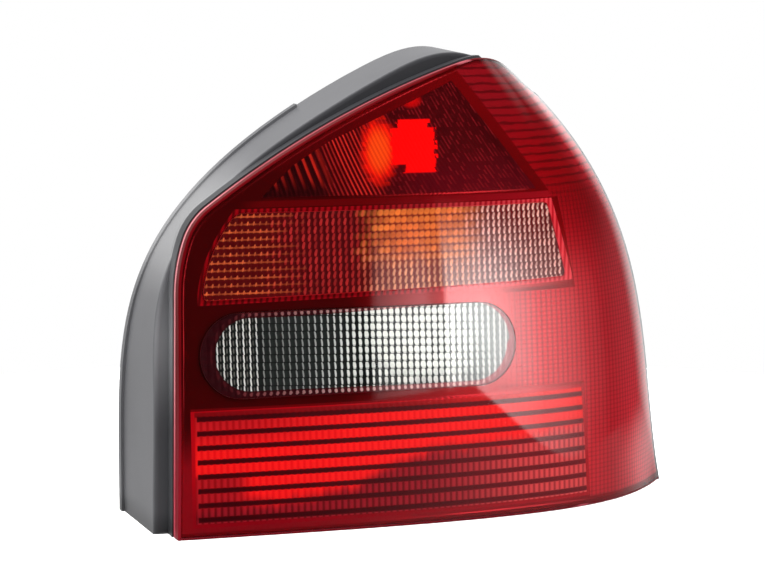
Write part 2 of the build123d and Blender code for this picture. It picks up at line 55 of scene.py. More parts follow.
NET_DEPTH = np.array(
    (
        (-1.0, -1.0, 19.0, 112.0),
        (2.0, 2.0, 22.0, 112.0),
        (12.0, 12.0, 25.0, 112.0),
        (32.0, 32.0, 40.0, 112.0),
    )
)
EDGE_TOP = (3.6, 140.0)
SHOULDER_MIDDLE = (9.8, 172.0)
SHOULDER_END = (23.7, 190.2)
DIAGONAL_END = (184.0, 271.6)
CROWN_END = (239.0, 258.5)
FAR_POINT = (400.0, 165.0)
LENS_BACK = 102.0
LENS_WALL = 3.0
SKIRT_WALL = 2.5
SEAM = 12.0
SEAM_LEAN_X = 0.08
SEAM_LEAN_Z = 0.07
EDGE_ROLL = 1.5
BAND_SETBACK = 10.0

# Windows: outline, seam round each, and the bevel that thins its inner face towards the edge
INDICATOR_CORNERS = ((17.5, 137.0), (39.5, 187.0), (239.5, 187.0), (251.0, 141.5))
INDICATOR_PULL = (20.0, 165.0)
INDICATOR_ROUND = 4.0
REVERSE_CENTRE = (114.0, 105.0)
REVERSE_HALF_STRAIGHT = 74.0
REVERSE_RADIUS = 25.0
WINDOW_SEAM = 0.12
WINDOW_EDGE = 0.6
WINDOW_DEEP = 1.6
WINDOW_BEVEL = 2.5

# Optics on the inner faces: pitch across and up, where a row starts, and how far they stand out
INDICATOR_PITCH = (3.7, 4.39)
INDICATOR_ROW = 140.8
REVERSE_PITCH = (3.95, 4.5)
REVERSE_ROW = 97.9
REVERSE_ROW_LEAN = 0.035
REVERSE_CLEAR_CENTRE = (115.8, 105.4)
REVERSE_CLEAR_HALF = 70.2
REVERSE_CLEAR_RADIUS = 21.1
FLUTE_PITCH = 3.85
RIB_PITCH = 4.8
FINE_PITCH = 2.7
PILLOW_RISE = 0.75
FLUTE_RISE = 0.45
SOFT_START = 6.0

# Fog panel with its frame and bars
FOG_LEFT = 11.6
FOG_RIGHT = 262.5
FOG_BOTTOM = 8.4
FOG_TOP = 73.2
FOG_FRAME = 2.2
BAR_FIRST = 10.8
BAR_PITCH = 8.35
BAR_HALF = 1.2

# Stop panel and its fanned flutes
STOP_BOTTOM = 195.5
STOP_RIGHT_EDGE = ((234.0, 195.5), (179.0, 261.0))
STOP_LEFT_EDGES = (
    ((55.5, 195.5), (76.0, 214.0)),
    ((76.0, 214.0), (98.0, 227.0)),
    ((98.0, 227.0), (179.0, 261.5)),
)
STOP_FLUTE_PITCH = 2.9
STOP_FAN_LEAN = 0.106
STOP_FAN_GROWTH = 0.0034

# Wrap round the corner, and the stretch of it beside the reverse window
WRAP_START = ((241.0, 195.5), (186.0, 263.0))
WRAP_LEFT = 256.0
WRAP_FOOT = 6.0
WRAP_THINNING = (225.0, 300.0)
BESIDE_LEFT = 200.0
BESIDE_FADE = 40.0
BESIDE_BOTTOM = 78.0
BESIDE_TOP = 135.0

# Steps of the meshes: rows and columns, closer along edges that are almost level, and the steps by
# which the skin's level lines and the outlines are read
LEVEL_STEPS = 361
MARK_STEP = 0.3
ROW_STEP = 1.2
GLOSS_STEP = 3.6
OPTIC_STEP = 0.9
INDICATOR_STEP = (0.54, 0.4625)
REVERSE_STEP = (0.86, 0.494)
LEVEL_EDGE_STEP = 0.18
CROWN_CAP = 3.0
REAR_TOP = 235.0
REAR_STEP = 2.0

# Stretches of the wrap's look: the line it starts at, how softly, and its lowest and highest height
LINE_SOFT = 0.35
WRAP_STRETCHES = (
    (((242.0, 195.5), (187.0, 263.0)), 1.5, 190.1, 400.0),
    (((259.0, 135.0), (250.0, 190.0)), LINE_SOFT, 134.5, 190.1),
    (((216.0, 76.0), (216.0, 134.0)), 16.0, 77.0, 134.5),
    (((267.5, 6.0), (263.5, 76.0)), LINE_SOFT, 5.0, 77.0),
)

# Painted light that shows through the stop panel: blocks as spans of run and height, ovals as centre and
# size
STOP_BLOCKS = (
    ((141.0, 162.0), (230.0, 239.0)),
    ((137.0, 165.5), (212.6, 234.0)),
    ((145.0, 165.0), (207.6, 215.0)),
)
STOP_GLOW = ((129.0, 221.0), (12.0, 21.0))
STOP_LIGHT_SPOT = ((151.0, 250.0), (7.0, 4.5))

# Grain of moulded plastic: how many to a metre, and its depth in metres
GRAIN_SCALE = 1900.0
GRAIN_DEPTH = 0.00006

# Studs
STUDS = ((0.0, 0.0), (19.0, 133.0), (217.0, 17.0))
STUD_RADIUS = 3.0
STUD_REACH = 22.0
STUD_SHANK_RADIUS = 3.5
STUD_HEAD_RADIUS = 5.5
STUD_HEAD_DEPTH = 6.0
STUD_SEAT = 8.0
THREAD_PITCH = 1.0
THREAD_DEPTH = 0.54
STUD_CHAMFER = 1.2

# Floor in millimetres, light and camera in metres; the panel's brightness goes by its bearing in degrees
FLOOR_CENTRE = (100.0, -20.0)
FLOOR_RADIUS = 620.0
LAMP_MIDDLE = Vector((0.1, -0.06, 0.09))
PANEL_LIGHT = (
    (0.0, 0.0), (23.2, 0.0), (23.6, 1.3), (28.7, 3.4), (29.0, 1.9), (31.2, 1.9), (31.6, 8.9),
    (37.0, 9.5), (45.0, 6.3), (53.0, 3.2), (63.0, 1.8), (70.0, 1.1), (77.0, 0.5), (92.0, 0.1),
    (180.0, 0.0),
)
CAMERA_PLACE = (-0.3954, -1.6523, 0.2827)
CAMERA_AIM = (0.2905, 0.9502, -0.1132)
FOCAL_PIXELS = 2800.0
FRAME_WIDTH = 765.0


def cubic_weights(t):
    """Weights of a cubic's four control points."""
    t = np.asarray(t, dtype=float)
    return np.stack([(1 - t) ** 3, 3 * t * (1 - t) ** 2, 3 * t**2 * (1 - t), t**3], axis=-1)


def cubic_slopes(t):
    """Rate of change of those weights."""
    t = np.asarray(t, dtype=float)
    return np.stack(
        [-3 * (1 - t) ** 2, 3 * (1 - t) * (1 - 3 * t), 3 * t * (2 - 3 * t), 3 * t**2], axis=-1
    )


class Level:
    """One level line of the lens's skin, read by the distance run along it from the inboard edge."""

    known = {}
    steps = np.linspace(0, 1, LEVEL_STEPS)

    def __init__(self, z):
        self.share = (z - SKIN_BOTTOM) / SKIN_RISE
        across = cubic_weights(self.share)
        self.net = np.stack([across @ NET_X, across @ NET_DEPTH, np.full(4, z)], axis=-1)
        climb = cubic_slopes(self.share) / SKIN_RISE
        self.climb = np.stack([climb @ NET_X, climb @ NET_DEPTH, np.ones(4)], axis=-1)
        line = cubic_weights(self.steps) @ self.net
        self.x = line[:, 0]
        self.depth = line[:, 1]
        run = np.concatenate([[0], np.cumsum(np.linalg.norm(np.diff(line, axis=0), axis=1))])
        self.run = run - np.interp(0, self.x, run)

    def run_at(self, x):
        return np.interp(x, self.x, self.run)

    def run_at_depth(self, depth):
        return np.interp(depth, self.depth, self.run)

    def points(self, run, under):
        """Points at a run along the line and a depth under the skin, square to it."""
        share = np.interp(run, self.run, self.steps)
        place = cubic_weights(share) @ self.net
        along = cubic_slopes(share) @ self.net
        inward = np.cross(cubic_weights(share) @ self.climb, along)
        inward /= np.linalg.norm(inward, axis=-1, keepdims=True)
        return place + inward * np.asarray(under)[..., None]


def level(z):
    """The level line at a height, made once."""
    key = round(float(z), 4)
    if key not in Level.known:
        Level.known[key] = Level(key)
    return Level.known[key]


def skin_points(places, under):
    """Points for pairs of run and height, at depths under the skin."""
    points = np.zeros((len(places), 3))
    for z in np.unique(places[:, 1]):
        here = places[:, 1] == z
        points[here] = level(z).points(places[here, 0], under[here])
    return points


def wall(places, depth):
    """Two loops of points, on the skin and at a depth under it."""
    return [skin_points(places, np.full(len(places), under)) for under in (0.0, depth)]


def mesh_piece(name, points, faces, materials):
    """New object from points in millimetres and their faces."""
    mesh = bpy.data.meshes.new(name)
    mesh.from_pydata((np.asarray(points) * MILLIMETRE).tolist(), [], faces)
    for material in materials:
        mesh.materials.append(material)
    piece = bpy.data.objects.new(name, mesh)
    bpy.context.scene.collection.objects.link(piece)
    return piece


def tangent_arc(start, heading, end, count):
    """Points of the arc that leaves a point on a heading and ends at another, and its last heading."""
    chord = end - start
    bend = cmath.phase(chord / heading)
    centre = start + 1j * heading * abs(chord) / (2 * math.sin(bend))
    swung = np.exp(2j * bend * np.linspace(0, 1, count))
    return centre + (start - centre) * swung, heading * swung[-1]


def lens_edge():
    """Outline of the lens from its lower inboard corner round to the far right."""
    corners = (EDGE_TOP, SHOULDER_MIDDLE, SHOULDER_END, DIAGONAL_END, CROWN_END, FAR_POINT)
    stops = [complex(*corner) for corner in corners]
    heading = stops[0] / abs(stops[0])
    pieces = [np.linspace(0, stops[0], 120)]
    for start, end in zip(stops[:-1], stops[1:-1]):
        points, heading = tangent_arc(start, heading, end, max(24, int(abs(end - start))))
        pieces.append(points[1:])
    pieces.append(np.linspace(stops[-2], stops[-1], 180)[1:])
    edge = np.concatenate(pieces)
    return np.column_stack([edge.real, edge.imag])


def edge_normals(points):
    """Outward directions of an outline that runs clockwise."""
    along = np.gradient(points, axis=0)
    along /= np.linalg.norm(along, axis=1, keepdims=True)
    return np.stack([-along[:, 1], along[:, 0]], axis=-1)


def chart(edge):
    """Runs and heights of points of an outline."""
    return np.array([(level(z).run_at(x), z) for x, z in np.round(edge, 4)])


LENS_EDGE = lens_edge()
LENS_EDGE_OUT = edge_normals(LENS_EDGE)


class Cover:
    """Area of the lens inside an inset outline, as one span of run for each height."""

    def __init__(self, inset):
        edge = chart(LENS_EDGE) - LENS_EDGE_OUT * inset
        apex = int(np.argmax(edge[:, 1]))
        self.rising = edge[: apex + 1]
        self.falling = edge[apex:][::-1]
        self.bottom = inset
        self.top = edge[apex, 1] - 0.02

    def span(self, z):
        start = np.interp(z, self.rising[:, 1], self.rising[:, 0])
        end = np.interp(z, self.falling[:, 1], self.falling[:, 0], left=math.inf)
        return start, max(start, min(end, level(z).run_at_depth(LENS_BACK)))


def pulled_curve(start, pull, end, count):
    """Points of a curve from one point to another, drawn towards a third."""
    t = np.linspace(0, 1, count)[:, None]
    return (1 - t) ** 2 * start + 2 * t * (1 - t) * pull + t**2 * end


def rounded(corners, radius):
    """Corners of a polygon eased by short curves."""
    points = []
    corners = [np.array(corner, dtype=float) for corner in corners]
    for before, here, after in zip(corners[-1:] + corners[:-1], corners, corners[1:] + corners[:1]):
        start = here + (before - here) * min(0.5, radius / np.linalg.norm(before - here))
        end = here + (after - here) * min(0.5, radius / np.linalg.norm(after - here))
        points.extend(pulled_curve(start, here, end, 7))
    return np.array(points)


def indicator_edge():
    """Outline of the indicator window."""
    first, second = (np.array(corner) for corner in INDICATOR_CORNERS[:2])
    bow = pulled_curve(first, np.array(INDICATOR_PULL), second, 25)
    ends = rounded(INDICATOR_CORNERS, INDICATOR_ROUND)
    left = [point for point in bow if INDICATOR_ROUND < point[1] - first[1] < second[1] - first[1] - 2]
    return np.array([*ends[0:4], *left, *ends[10:]])


def reverse_edge():
    """Outline of the reverse window."""
    points = []
    for side, start in ((1, -90), (-1, 90)):
        for angle in np.radians(np.linspace(start, start + 180, 61)):
            points.append(
                (
                    REVERSE_CENTRE[0] + side * REVERSE_HALF_STRAIGHT + REVERSE_RADIUS * math.cos(angle),
                    REVERSE_CENTRE[1] + REVERSE_RADIUS * math.sin(angle),
                )
            )
    return np.array(points)


class Window:
    """Area of a window with one span of run for each height."""

    def __init__(self, edge, inset=0.0):
        self.edge = edge
        self.inset = inset
        self.bottom = edge[:, 1].min() + inset
        self.top = edge[:, 1].max() - inset

    def span(self, z):
        start, end = self.edge, np.roll(self.edge, -1, axis=0)
        cross = (np.minimum(start[:, 1], end[:, 1]) <= z) & (np.maximum(start[:, 1], end[:, 1]) >= z)
        start, end = start[cross], end[cross]
        rise = end[:, 1] - start[:, 1]
        share = np.where(np.abs(rise) < 1e-9, 0.0, (z - start[:, 1]) / np.where(rise == 0, 1, rise))
        x = np.concatenate([start[:, 0] + share * (end[:, 0] - start[:, 0]), end[np.abs(rise) < 1e-9, 0]])
        line = level(z)
        low, high = line.run_at(x.min() + self.inset), line.run_at(x.max() - self.inset)
        return min(low, high), max(low, high)


COVER = Cover(EDGE_ROLL)
INDICATOR = Window(indicator_edge())
REVERSE = Window(reverse_edge())


def heights(low, high, step):
    """Evenly spaced rows from one height to another."""
    return np.round(np.linspace(low, high, max(2, int(math.ceil((high - low) / step)) + 1)), 4)


def indicator_heights(low, high, step):
    """Rows beside the indicator, close together along its almost level lower edge."""
    turn = INDICATOR_CORNERS[3][1] + 0.2
    return np.concatenate([heights(low, turn, LEVEL_EDGE_STEP)[:-1], heights(turn, high, step)])


def lens_bands(cover, step):
    """Rows of the red cover, parted round the two windows."""

    def whole(z):
        return [cover.span(z)]

    def beside(window):
        def spans(z):
            start, end = cover.span(z)
            left, right = window.span(z)
            return [(start, left), (right, end)]

        return spans

    return [
        (heights(cover.bottom, REVERSE.bottom, step), whole),
        (heights(REVERSE.bottom, REVERSE.top, step), beside(REVERSE)),
        (heights(REVERSE.top, INDICATOR.bottom, step), whole),
        (indicator_heights(INDICATOR.bottom, INDICATOR.top, step), beside(INDICATOR)),
        (heights(INDICATOR.top, cover.top - CROWN_CAP, step), whole),
        (heights(cover.top - CROWN_CAP, cover.top, LEVEL_EDGE_STEP), whole),
    ]


def window_bands(window, rows, step):
    """Rows of a window."""
    return [(rows(window.bottom, window.top, step), lambda z: [window.span(z)])]


def lattice(bands, pitch):
    """Places and faces of a net of rows and columns, trimmed to the spans of its rows."""
    found = {}
    places = []
    faces = []

    def corner(run, z):
        key = (round(run, 3), round(z, 3))
        if key not in found:
            found[key] = len(places)
            places.append((run, z))
        return found[key]

    for rows, spans in bands:
        edges = [spans(z) for z in rows]
        for low, high, low_spans, high_spans in zip(rows, rows[1:], edges, edges[1:]):
            for (low_start, low_end), (high_start, high_end) in zip(low_spans, high_spans):
                first = math.floor(min(low_start, high_start) / pitch)
                last = math.ceil(max(low_end, high_end) / pitch)
                for column in range(first, last):
                    left, right = column * pitch, (column + 1) * pitch
                    ring = (
                        corner(min(max(left, low_start), low_end), low),
                        corner(min(max(right, low_start), low_end), low),
                        corner(min(max(right, high_start), high_end), high),
                        corner(min(max(left, high_start), high_end), high),
                    )
                    face = tuple(dict.fromkeys(ring))
                    if len(face) > 2:
                        faces.append(face)
    return np.array(places), faces


def edge_distances(places, outline):
    """Distances of places from an outline of runs and heights."""
    lengths = np.linalg.norm(np.diff(outline, axis=0), axis=1)
    along = np.concatenate([[0], np.cumsum(lengths)])
    marks = np.arange(0, along[-1], MARK_STEP)
    tree = KDTree(len(marks))
    for index, (run, z) in enumerate(zip(*(np.interp(marks, along, axis) for axis in outline.T))):
        tree.insert((run, z, 0.0), index)
    tree.balance()
    return np.array([tree.find((run, z, 0.0))[2] for run, z in places])


class Shape:
    """Gathers the faces of one piece, with the finish and the lens place of each."""

    def __init__(self, outline):
        self.outline = outline
        self.points = []
        self.places = []
        self.faces = []
        self.finishes = []
        self.count = 0

    def take(self, points, places, faces, finish):
        self.points.append(np.asarray(points))
        self.places.append(np.asarray(places))
        self.faces += [tuple(index + self.count for index in face) for face in faces]
        self.finishes += [finish] * len(faces)
        self.count += len(points)

    def sheet(self, bands, pitch, under, finish, flip=False):
        places, faces = lattice(bands, pitch)
        points = skin_points(places, under(places[:, 0], places[:, 1]))
        self.take(points, places, [face[::-1] for face in faces] if flip else faces, finish)

    def ribbon(self, loops, places, finish, closed=False):
        """Faces between neighbouring loops of points, one loop for each step across the ribbon."""
        wide = len(loops)
        long = len(loops[0])
        grid = np.stack(loops, axis=1).reshape(-1, 3)
        turn = long if closed else long - 1
        faces = [
            (
                step * wide + row,
                (step + 1) % long * wide + row,
                (step + 1) % long * wide + row + 1,
                step * wide + row + 1,
            )
            for step in range(turn)
            for row in range(wide - 1)
        ]
        self.take(grid, np.repeat(places, wide, axis=0), faces, finish)

    def piece(self, name, materials):
        places = np.concatenate(self.places)
        away = edge_distances(places, self.outline)
        piece = mesh_piece(name, np.concatenate(self.points) + CORNER, self.faces, materials)
        mesh = piece.data
        mesh.polygons.foreach_set("material_index", self.finishes)
        mesh.shade_smooth()
        lens_place = mesh.attributes.new("lens_place", "FLOAT_VECTOR", "POINT")
        lens_place.data.foreach_set("vector", np.column_stack([places, away]).ravel())
        mesh.validate()
        return piece


LENS_OUTLINE = np.concatenate([[(340.0, 0.0)], chart(LENS_EDGE)])


def dome(value, pitch):
    """Round crowns along a value, one for each pitch, from 0 to 1."""
    phase = np.mod(value / pitch, 1.0)
    return 1 - (2 * phase - 1) ** 2


def below(run, z, edge):
    """True under the line through two points."""
    (x0, z0), (x1, z1) = edge
    return z < z0 + (z1 - z0) * (run - x0) / (x1 - x0)


def line_run(z, edge):
    """Run of the line through two points, at a height."""
    (x0, z0), (x1, z1) = edge
    return x0 + (x1 - x0) * (z - z0) / (z1 - z0)


def in_stop(run, z):
    inside = (z > STOP_BOTTOM) & below(run, z, STOP_RIGHT_EDGE)
    for edge in STOP_LEFT_EDGES:
        inside &= below(run, z, edge)
    return inside


def in_fog(run, z):
    return (run > FOG_LEFT) & (run < FOG_RIGHT) & (z > FOG_BOTTOM) & (z < FOG_TOP)


def stop_fan(run, z):
    """Coordinate that the fanned flutes of the stop panel follow."""
    return run + (run * STOP_FAN_GROWTH + STOP_FAN_LEAN) * (z - STOP_BOTTOM)


def red_depth(run, z):
    """Depth of the red cover's inner face: flutes, pillows and plain margins."""
    rise = np.zeros(len(run))
    fog = in_fog(run, z)
    rise[fog] = 0.6 * FLUTE_RISE * dome(run[fog], FLUTE_PITCH)
    bar = np.abs(np.mod(z - BAR_FIRST + BAR_PITCH / 2, BAR_PITCH) - BAR_PITCH / 2) < BAR_HALF
    rise[fog & bar] = 0.0
    stop = in_stop(run, z)
    ended = np.clip((line_run(z[stop], STOP_RIGHT_EDGE) - run[stop]) / SOFT_START, 0, 1)
    rise[stop] = FLUTE_RISE * ended * dome(stop_fan(run[stop], z[stop]), STOP_FLUTE_PITCH)
    wrap = ~fog & ~stop & ~below(run, z, WRAP_START) & (z > STOP_BOTTOM)
    wrap |= ~fog & (run > WRAP_LEFT) & (z > WRAP_FOOT) & (z <= STOP_BOTTOM)
    wrap |= (run > BESIDE_LEFT) & (z > BESIDE_BOTTOM) & (z < BESIDE_TOP)
    ribs = np.clip((run - line_run(z, WRAP_START)) / SOFT_START, 0, 1) * dome(z, RIB_PITCH)
    flutes = np.clip((run - BESIDE_LEFT) / BESIDE_FADE, 0, 1) * dome(run, FLUTE_PITCH)
    rise[wrap] = FLUTE_RISE * np.where(z > STOP_BOTTOM, 0.6 * ribs, 0.7 * flutes)[wrap]
    whole = np.clip(edge_distances(np.column_stack([run, z]), LENS_OUTLINE) / LENS_WALL, 0.2, 1)
    thinned = 1 - 0.8 * np.clip((run - WRAP_THINNING[0]) / np.ptp(WRAP_THINNING), 0, 1)
    return (LENS_WALL - rise) * whole * thinned


def pillow_depth(outline, pitch):
    """Depth of a window's inner face: one pillow for each pitch, thinning out at the window's edge."""

    def depth(run, z):
        whole = np.clip(edge_distances(np.column_stack([run, z]), outline) / WINDOW_BEVEL, 0, 1)
        pillow = PILLOW_RISE * np.sqrt(dome(run, pitch[0]) * dome(z, pitch[1]))
        return WINDOW_EDGE + (WINDOW_DEEP - WINDOW_EDGE - pillow) * whole

    return depth


def flat_depth(value):
    def depth(run, z):
        return np.full(len(run), value)

    return depth


def red_cover():
    """Red lens: smooth outside, optics inside, rolled edge and skirt."""
    shape = Shape(LENS_OUTLINE)
    bands = lens_bands(COVER, ROW_STEP)
    shape.sheet(bands, GLOSS_STEP, flat_depth(0.0), 0)
    shape.sheet(bands, OPTIC_STEP, red_depth, 1, flip=True)

    line = level(0)
    foot = np.linspace(line.run_at_depth(LENS_BACK), 0, 260)[:-1]
    places = [np.column_stack([foot, np.zeros(len(foot))])]
    outs = [np.tile((0.0, -1.0), (len(foot), 1))]
    top_depth = np.array([level(z).points(level(z).run_at(x), 0.0)[1] for x, z in LENS_EDGE])
    kept = top_depth < LENS_BACK
    places.append(chart(LENS_EDGE[kept]))
    outs.append(LENS_EDGE_OUT[kept])
    places, outs = np.concatenate(places), np.concatenate(outs)

    def inset(amount, under):
        moved = np.round(places - outs * amount, 4)
        moved[:, 1] = np.maximum(moved[:, 1], 0)
        return skin_points(moved, np.full(len(moved), under))

    rolled = [
        inset(EDGE_ROLL * (1 - math.sin(angle)), EDGE_ROLL * (1 - math.cos(angle)))
        for angle in np.radians(np.linspace(0, 90, 6))
    ]

    def to_seam(points):
        seam = SEAM + SEAM_LEAN_X * points[:, 0] + SEAM_LEAN_Z * points[:, 2]
        moved = points.copy()
        moved[:, 1] = np.minimum(np.maximum(seam, points[:, 1]), LENS_BACK)
        return moved

    inner = inset(SKIRT_WALL, LENS_WALL)
    shape.ribbon(rolled + [to_seam(rolled[-1])], places, 2)
    shape.ribbon([to_seam(rolled[-1]), to_seam(inner), inner], places, 1)

    rear = np.array([(COVER.span(z)[1], z) for z in heights(COVER.bottom, REAR_TOP, REAR_STEP)])
    shape.ribbon(wall(rear, LENS_WALL), rear, 1)
    for window in (INDICATOR, REVERSE):
        loop = chart(window.edge)
        shape.ribbon(wall(loop, LENS_WALL), loop, 1, closed=True)
    return shape


def window_cover(edge, rows, pitch, mesh_step):
    """A window of the lens: smooth outside, pillows inside."""
    window = Window(edge, WINDOW_SEAM)
    outline = chart(np.concatenate([edge, edge[:1]]))
    shape = Shape(outline)
    shape.sheet(window_bands(window, rows, ROW_STEP), GLOSS_STEP, flat_depth(0.0), 0)
    row_step, column_step = mesh_step
    pillows = pillow_depth(outline, pitch)
    shape.sheet(window_bands(window, rows, row_step), column_step, pillows, 1, flip=True)
    middle = edge.mean(axis=0)
    loop = chart(middle + (edge - middle) * (1 - 2 * WINDOW_SEAM / np.ptp(edge[:, 1])))
    shape.ribbon(wall(loop, WINDOW_EDGE), loop, 1, closed=True)
    return shape


class Wire:
    """A node's output that takes part in shader maths."""

    def __init__(self, finish, socket):
        self.finish = finish
        self.socket = socket

    def join(self, operation, first, second):
        return self.finish.add("ShaderNodeMath", {"operation": operation}, {0: first, 1: second})

    def __add__(self, other):
        return self.join("ADD", self, other)

    def __radd__(self, other):
        return self.join("ADD", other, self)

    def __sub__(self, other):
        return self.join("SUBTRACT", self, other)

    def __rsub__(self, other):
        return self.join("SUBTRACT", other, self)

    def __mul__(self, other):
        return self.join("MULTIPLY", self, other)

    def __rmul__(self, other):
        return self.join("MULTIPLY", other, self)

    def __truediv__(self, other):
        return self.join("DIVIDE", self, other)

    def __pow__(self, other):
        return self.join("POWER", self, other)

    def __abs__(self):
        return self.finish.add("ShaderNodeMath", {"operation": "ABSOLUTE"}, {0: self})


class Finish:
    """A material's or a world's nodes."""

    def __init__(self, owner):
        self.owner = owner
        owner.use_nodes = True
        self.tree = owner.node_tree
        self.tree.nodes.clear()

    def add(self, kind, settings=None, sockets=None, output=0):
        """A node of a type, with its settings made first and then its sockets."""
        node = self.tree.nodes.new(kind)
        for name, value in (settings or {}).items():
            if name == "stops":
                elements = node.color_ramp.elements
                elements[0].position, elements[0].color = value[0]
                elements[1].position, elements[1].color = value[-1]
                for place, colour in value[1:-1]:
                    elements.new(place).color = colour
            else:
                setattr(node, name, value)
        for name, value in (sockets or {}).items():
            if isinstance(value, Wire):
                self.tree.links.new(value.socket, node.inputs[name])
            else:
                node.inputs[name].default_value = value
        return Wire(self, node.outputs[output]) if node.outputs else None

    def spread(self):
        """Position on the object, in metres."""
        return self.add("ShaderNodeTexCoord", output="Object")

    def lens_place(self):
        """Run along the lens, height on it and distance from its edge, in millimetres."""
        place = self.add("ShaderNodeAttribute", {"attribute_name": "lens_place"}, output="Vector")
        return parts(place)

    def surface(self, sockets):
        """Ends the material in one plastic, metal or glass shader."""
        return self.end(self.add("ShaderNodeBsdfPrincipled", None, sockets))

    def end(self, shader):
        self.add("ShaderNodeOutputMaterial", None, {"Surface": shader})
        return self.owner


def least(first, second):
    return first.join("MINIMUM", first, second)


def most(first, second):
    return first.join("MAXIMUM", first, second)


def fraction(value):
    return value.finish.add("ShaderNodeMath", {"operation": "FRACT"}, {0: value})


def floored(value):
    return value.finish.add("ShaderNodeMath", {"operation": "FLOOR"}, {0: value})


def ease(value, start, end):
    """0 before the start and 1 after the end, smooth between."""
    return value.finish.add(
        "ShaderNodeMapRange",
        {"interpolation_type": "SMOOTHSTEP"},
        {"Value": value, "From Min": start, "From Max": end},
    )


def between(value, low, high, soft):
    """1 between two values, fading over a soft edge."""
    return ease(value, low - soft, low + soft) * (1 - ease(value, high - soft, high + soft))


def mix(share, first, second):
    """Colour between two colours."""
    sockets = {"Factor": share, 6: first, 7: second}
    return share.finish.add("ShaderNodeMix", {"data_type": "RGBA"}, sockets, output=2)


def tone(colour, share):
    """A colour made darker by a share."""
    return mix(share, BLACK, colour)


def oval(across, along, wide, tall):
    """1 in the middle of an oval, fading to 0 at its edge."""
    return 1 - ease(across * across / wide**2 + along * along / tall**2, 0.25, 1.0)


def spot(run, z, place):
    """0 in the middle of a spot with a centre and a size, and 1 on its edge."""
    (centre_run, centre_z), (wide, tall) = place
    across = (run - centre_run) / wide
    along = (z - centre_z) / tall
    return across * across + along * along


def noise(scale, detail, vector):
    sockets = {"Scale": scale, "Detail": detail, "Vector": vector}
    return vector.finish.add("ShaderNodeTexNoise", None, sockets)


def bump(height, strength, distance):
    sockets = {"Height": height, "Strength": strength, "Distance": distance}
    return height.finish.add("ShaderNodeBump", None, sockets)


def parts(vector):
    """The three numbers of a vector."""
    return [vector.finish.add("ShaderNodeSeparateXYZ", None, {0: vector}, output=axis) for axis in "XYZ"]


def ramp(value, stops):
    """Colour, or number, read from a list of places and colours, or numbers."""
    colours = [
        (place, colour if isinstance(colour, tuple) else (colour, colour, colour, 1.0))
        for place, colour in stops
    ]
    return value.finish.add("ShaderNodeValToRGB", {"stops": colours}, {0: value})


def chance(column, row):
    """A steady random number for each cell of a grid."""
    cell = column.finish.add("ShaderNodeCombineXYZ", None, {0: column, 1: row})
    return column.finish.add("ShaderNodeTexWhiteNoise", {"noise_dimensions": "2D"}, {"Vector": cell})


def finish_named(name):
    return Finish(bpy.data.materials.new(name))


def shade(red, green, blue):
    """Colour from display values of 0 to 255."""
    return tuple(
        (value / 12.92 if value <= 0.04045 else ((value + 0.055) / 1.055) ** 2.4)
        for value in (red / 255, green / 255, blue / 255)
    ) + (1.0,)


BLACK = (0.0, 0.0, 0.0, 1.0)
WHITE = (1.0, 1.0, 1.0, 1.0)


def clear_gloss(name, tint):
    """Polished outer face of a moulded lens: mirrors by angle and shows the optics under it."""
    finish = finish_named(name)
    through = finish.add("ShaderNodeBsdfTransparent", None, {"Color": tint})
    mirror = finish.add(
        "ShaderNodeBsdfPrincipled", None, {"Base Color": WHITE, "Metallic": 1.0, "Roughness": 0.025}
    )
    glance = finish.add("ShaderNodeFresnel", None, {"IOR": 1.49})
    return finish.end(finish.add("ShaderNodeMixShader", None, {0: glance, 1: through, 2: mirror}))


def above_foot(finish):
    """Height above the lens's lower edge, in millimetres."""
    return parts(finish.spread())[2] / MILLIMETRE - float(CORNER[2])


def behind_seam(finish):
    """Distance behind the plane on which the lens meets the housing, in millimetres."""
    square = np.array((-SEAM_LEAN_X, 1.0, -SEAM_LEAN_Z))
    reach = finish.add(
        "ShaderNodeVectorMath",
        {"operation": "DOT_PRODUCT"},
        {0: finish.spread(), 1: tuple(square)},
        output="Value",
    )
    return reach / MILLIMETRE - float(CORNER @ square) - SEAM


def red_edge():
    """Rolled edge and skirt of the red cover, with a painted highlight line where it meets the housing.
    """
    finish = finish_named("red_edge")
    behind = behind_seam(finish)
    z = above_foot(finish)
    high = ease(z, 20.0, 110.0)
    cloud = noise(25.0, 2.0, finish.spread())
    red = mix(cloud, shade(64, 1, 4), shade(78, 2, 6))
    # Painted light: the red is brighter towards the foot
    red = mix(high, shade(94, 9, 20), red)
    # Painted highlight line, paler higher up and duller towards the crown
    pale = mix(high, shade(150, 58, 70), shade(176, 112, 117))
    pale = mix(ease(z, 188.0, 214.0), pale, shade(134, 66, 73))
    colour = mix(between(behind, -4.6, -1.6, 0.8) * 0.9, red, pale)
    return finish.surface({"Base Color": colour, "Roughness": 0.45, "Specular IOR Level": 0.04})


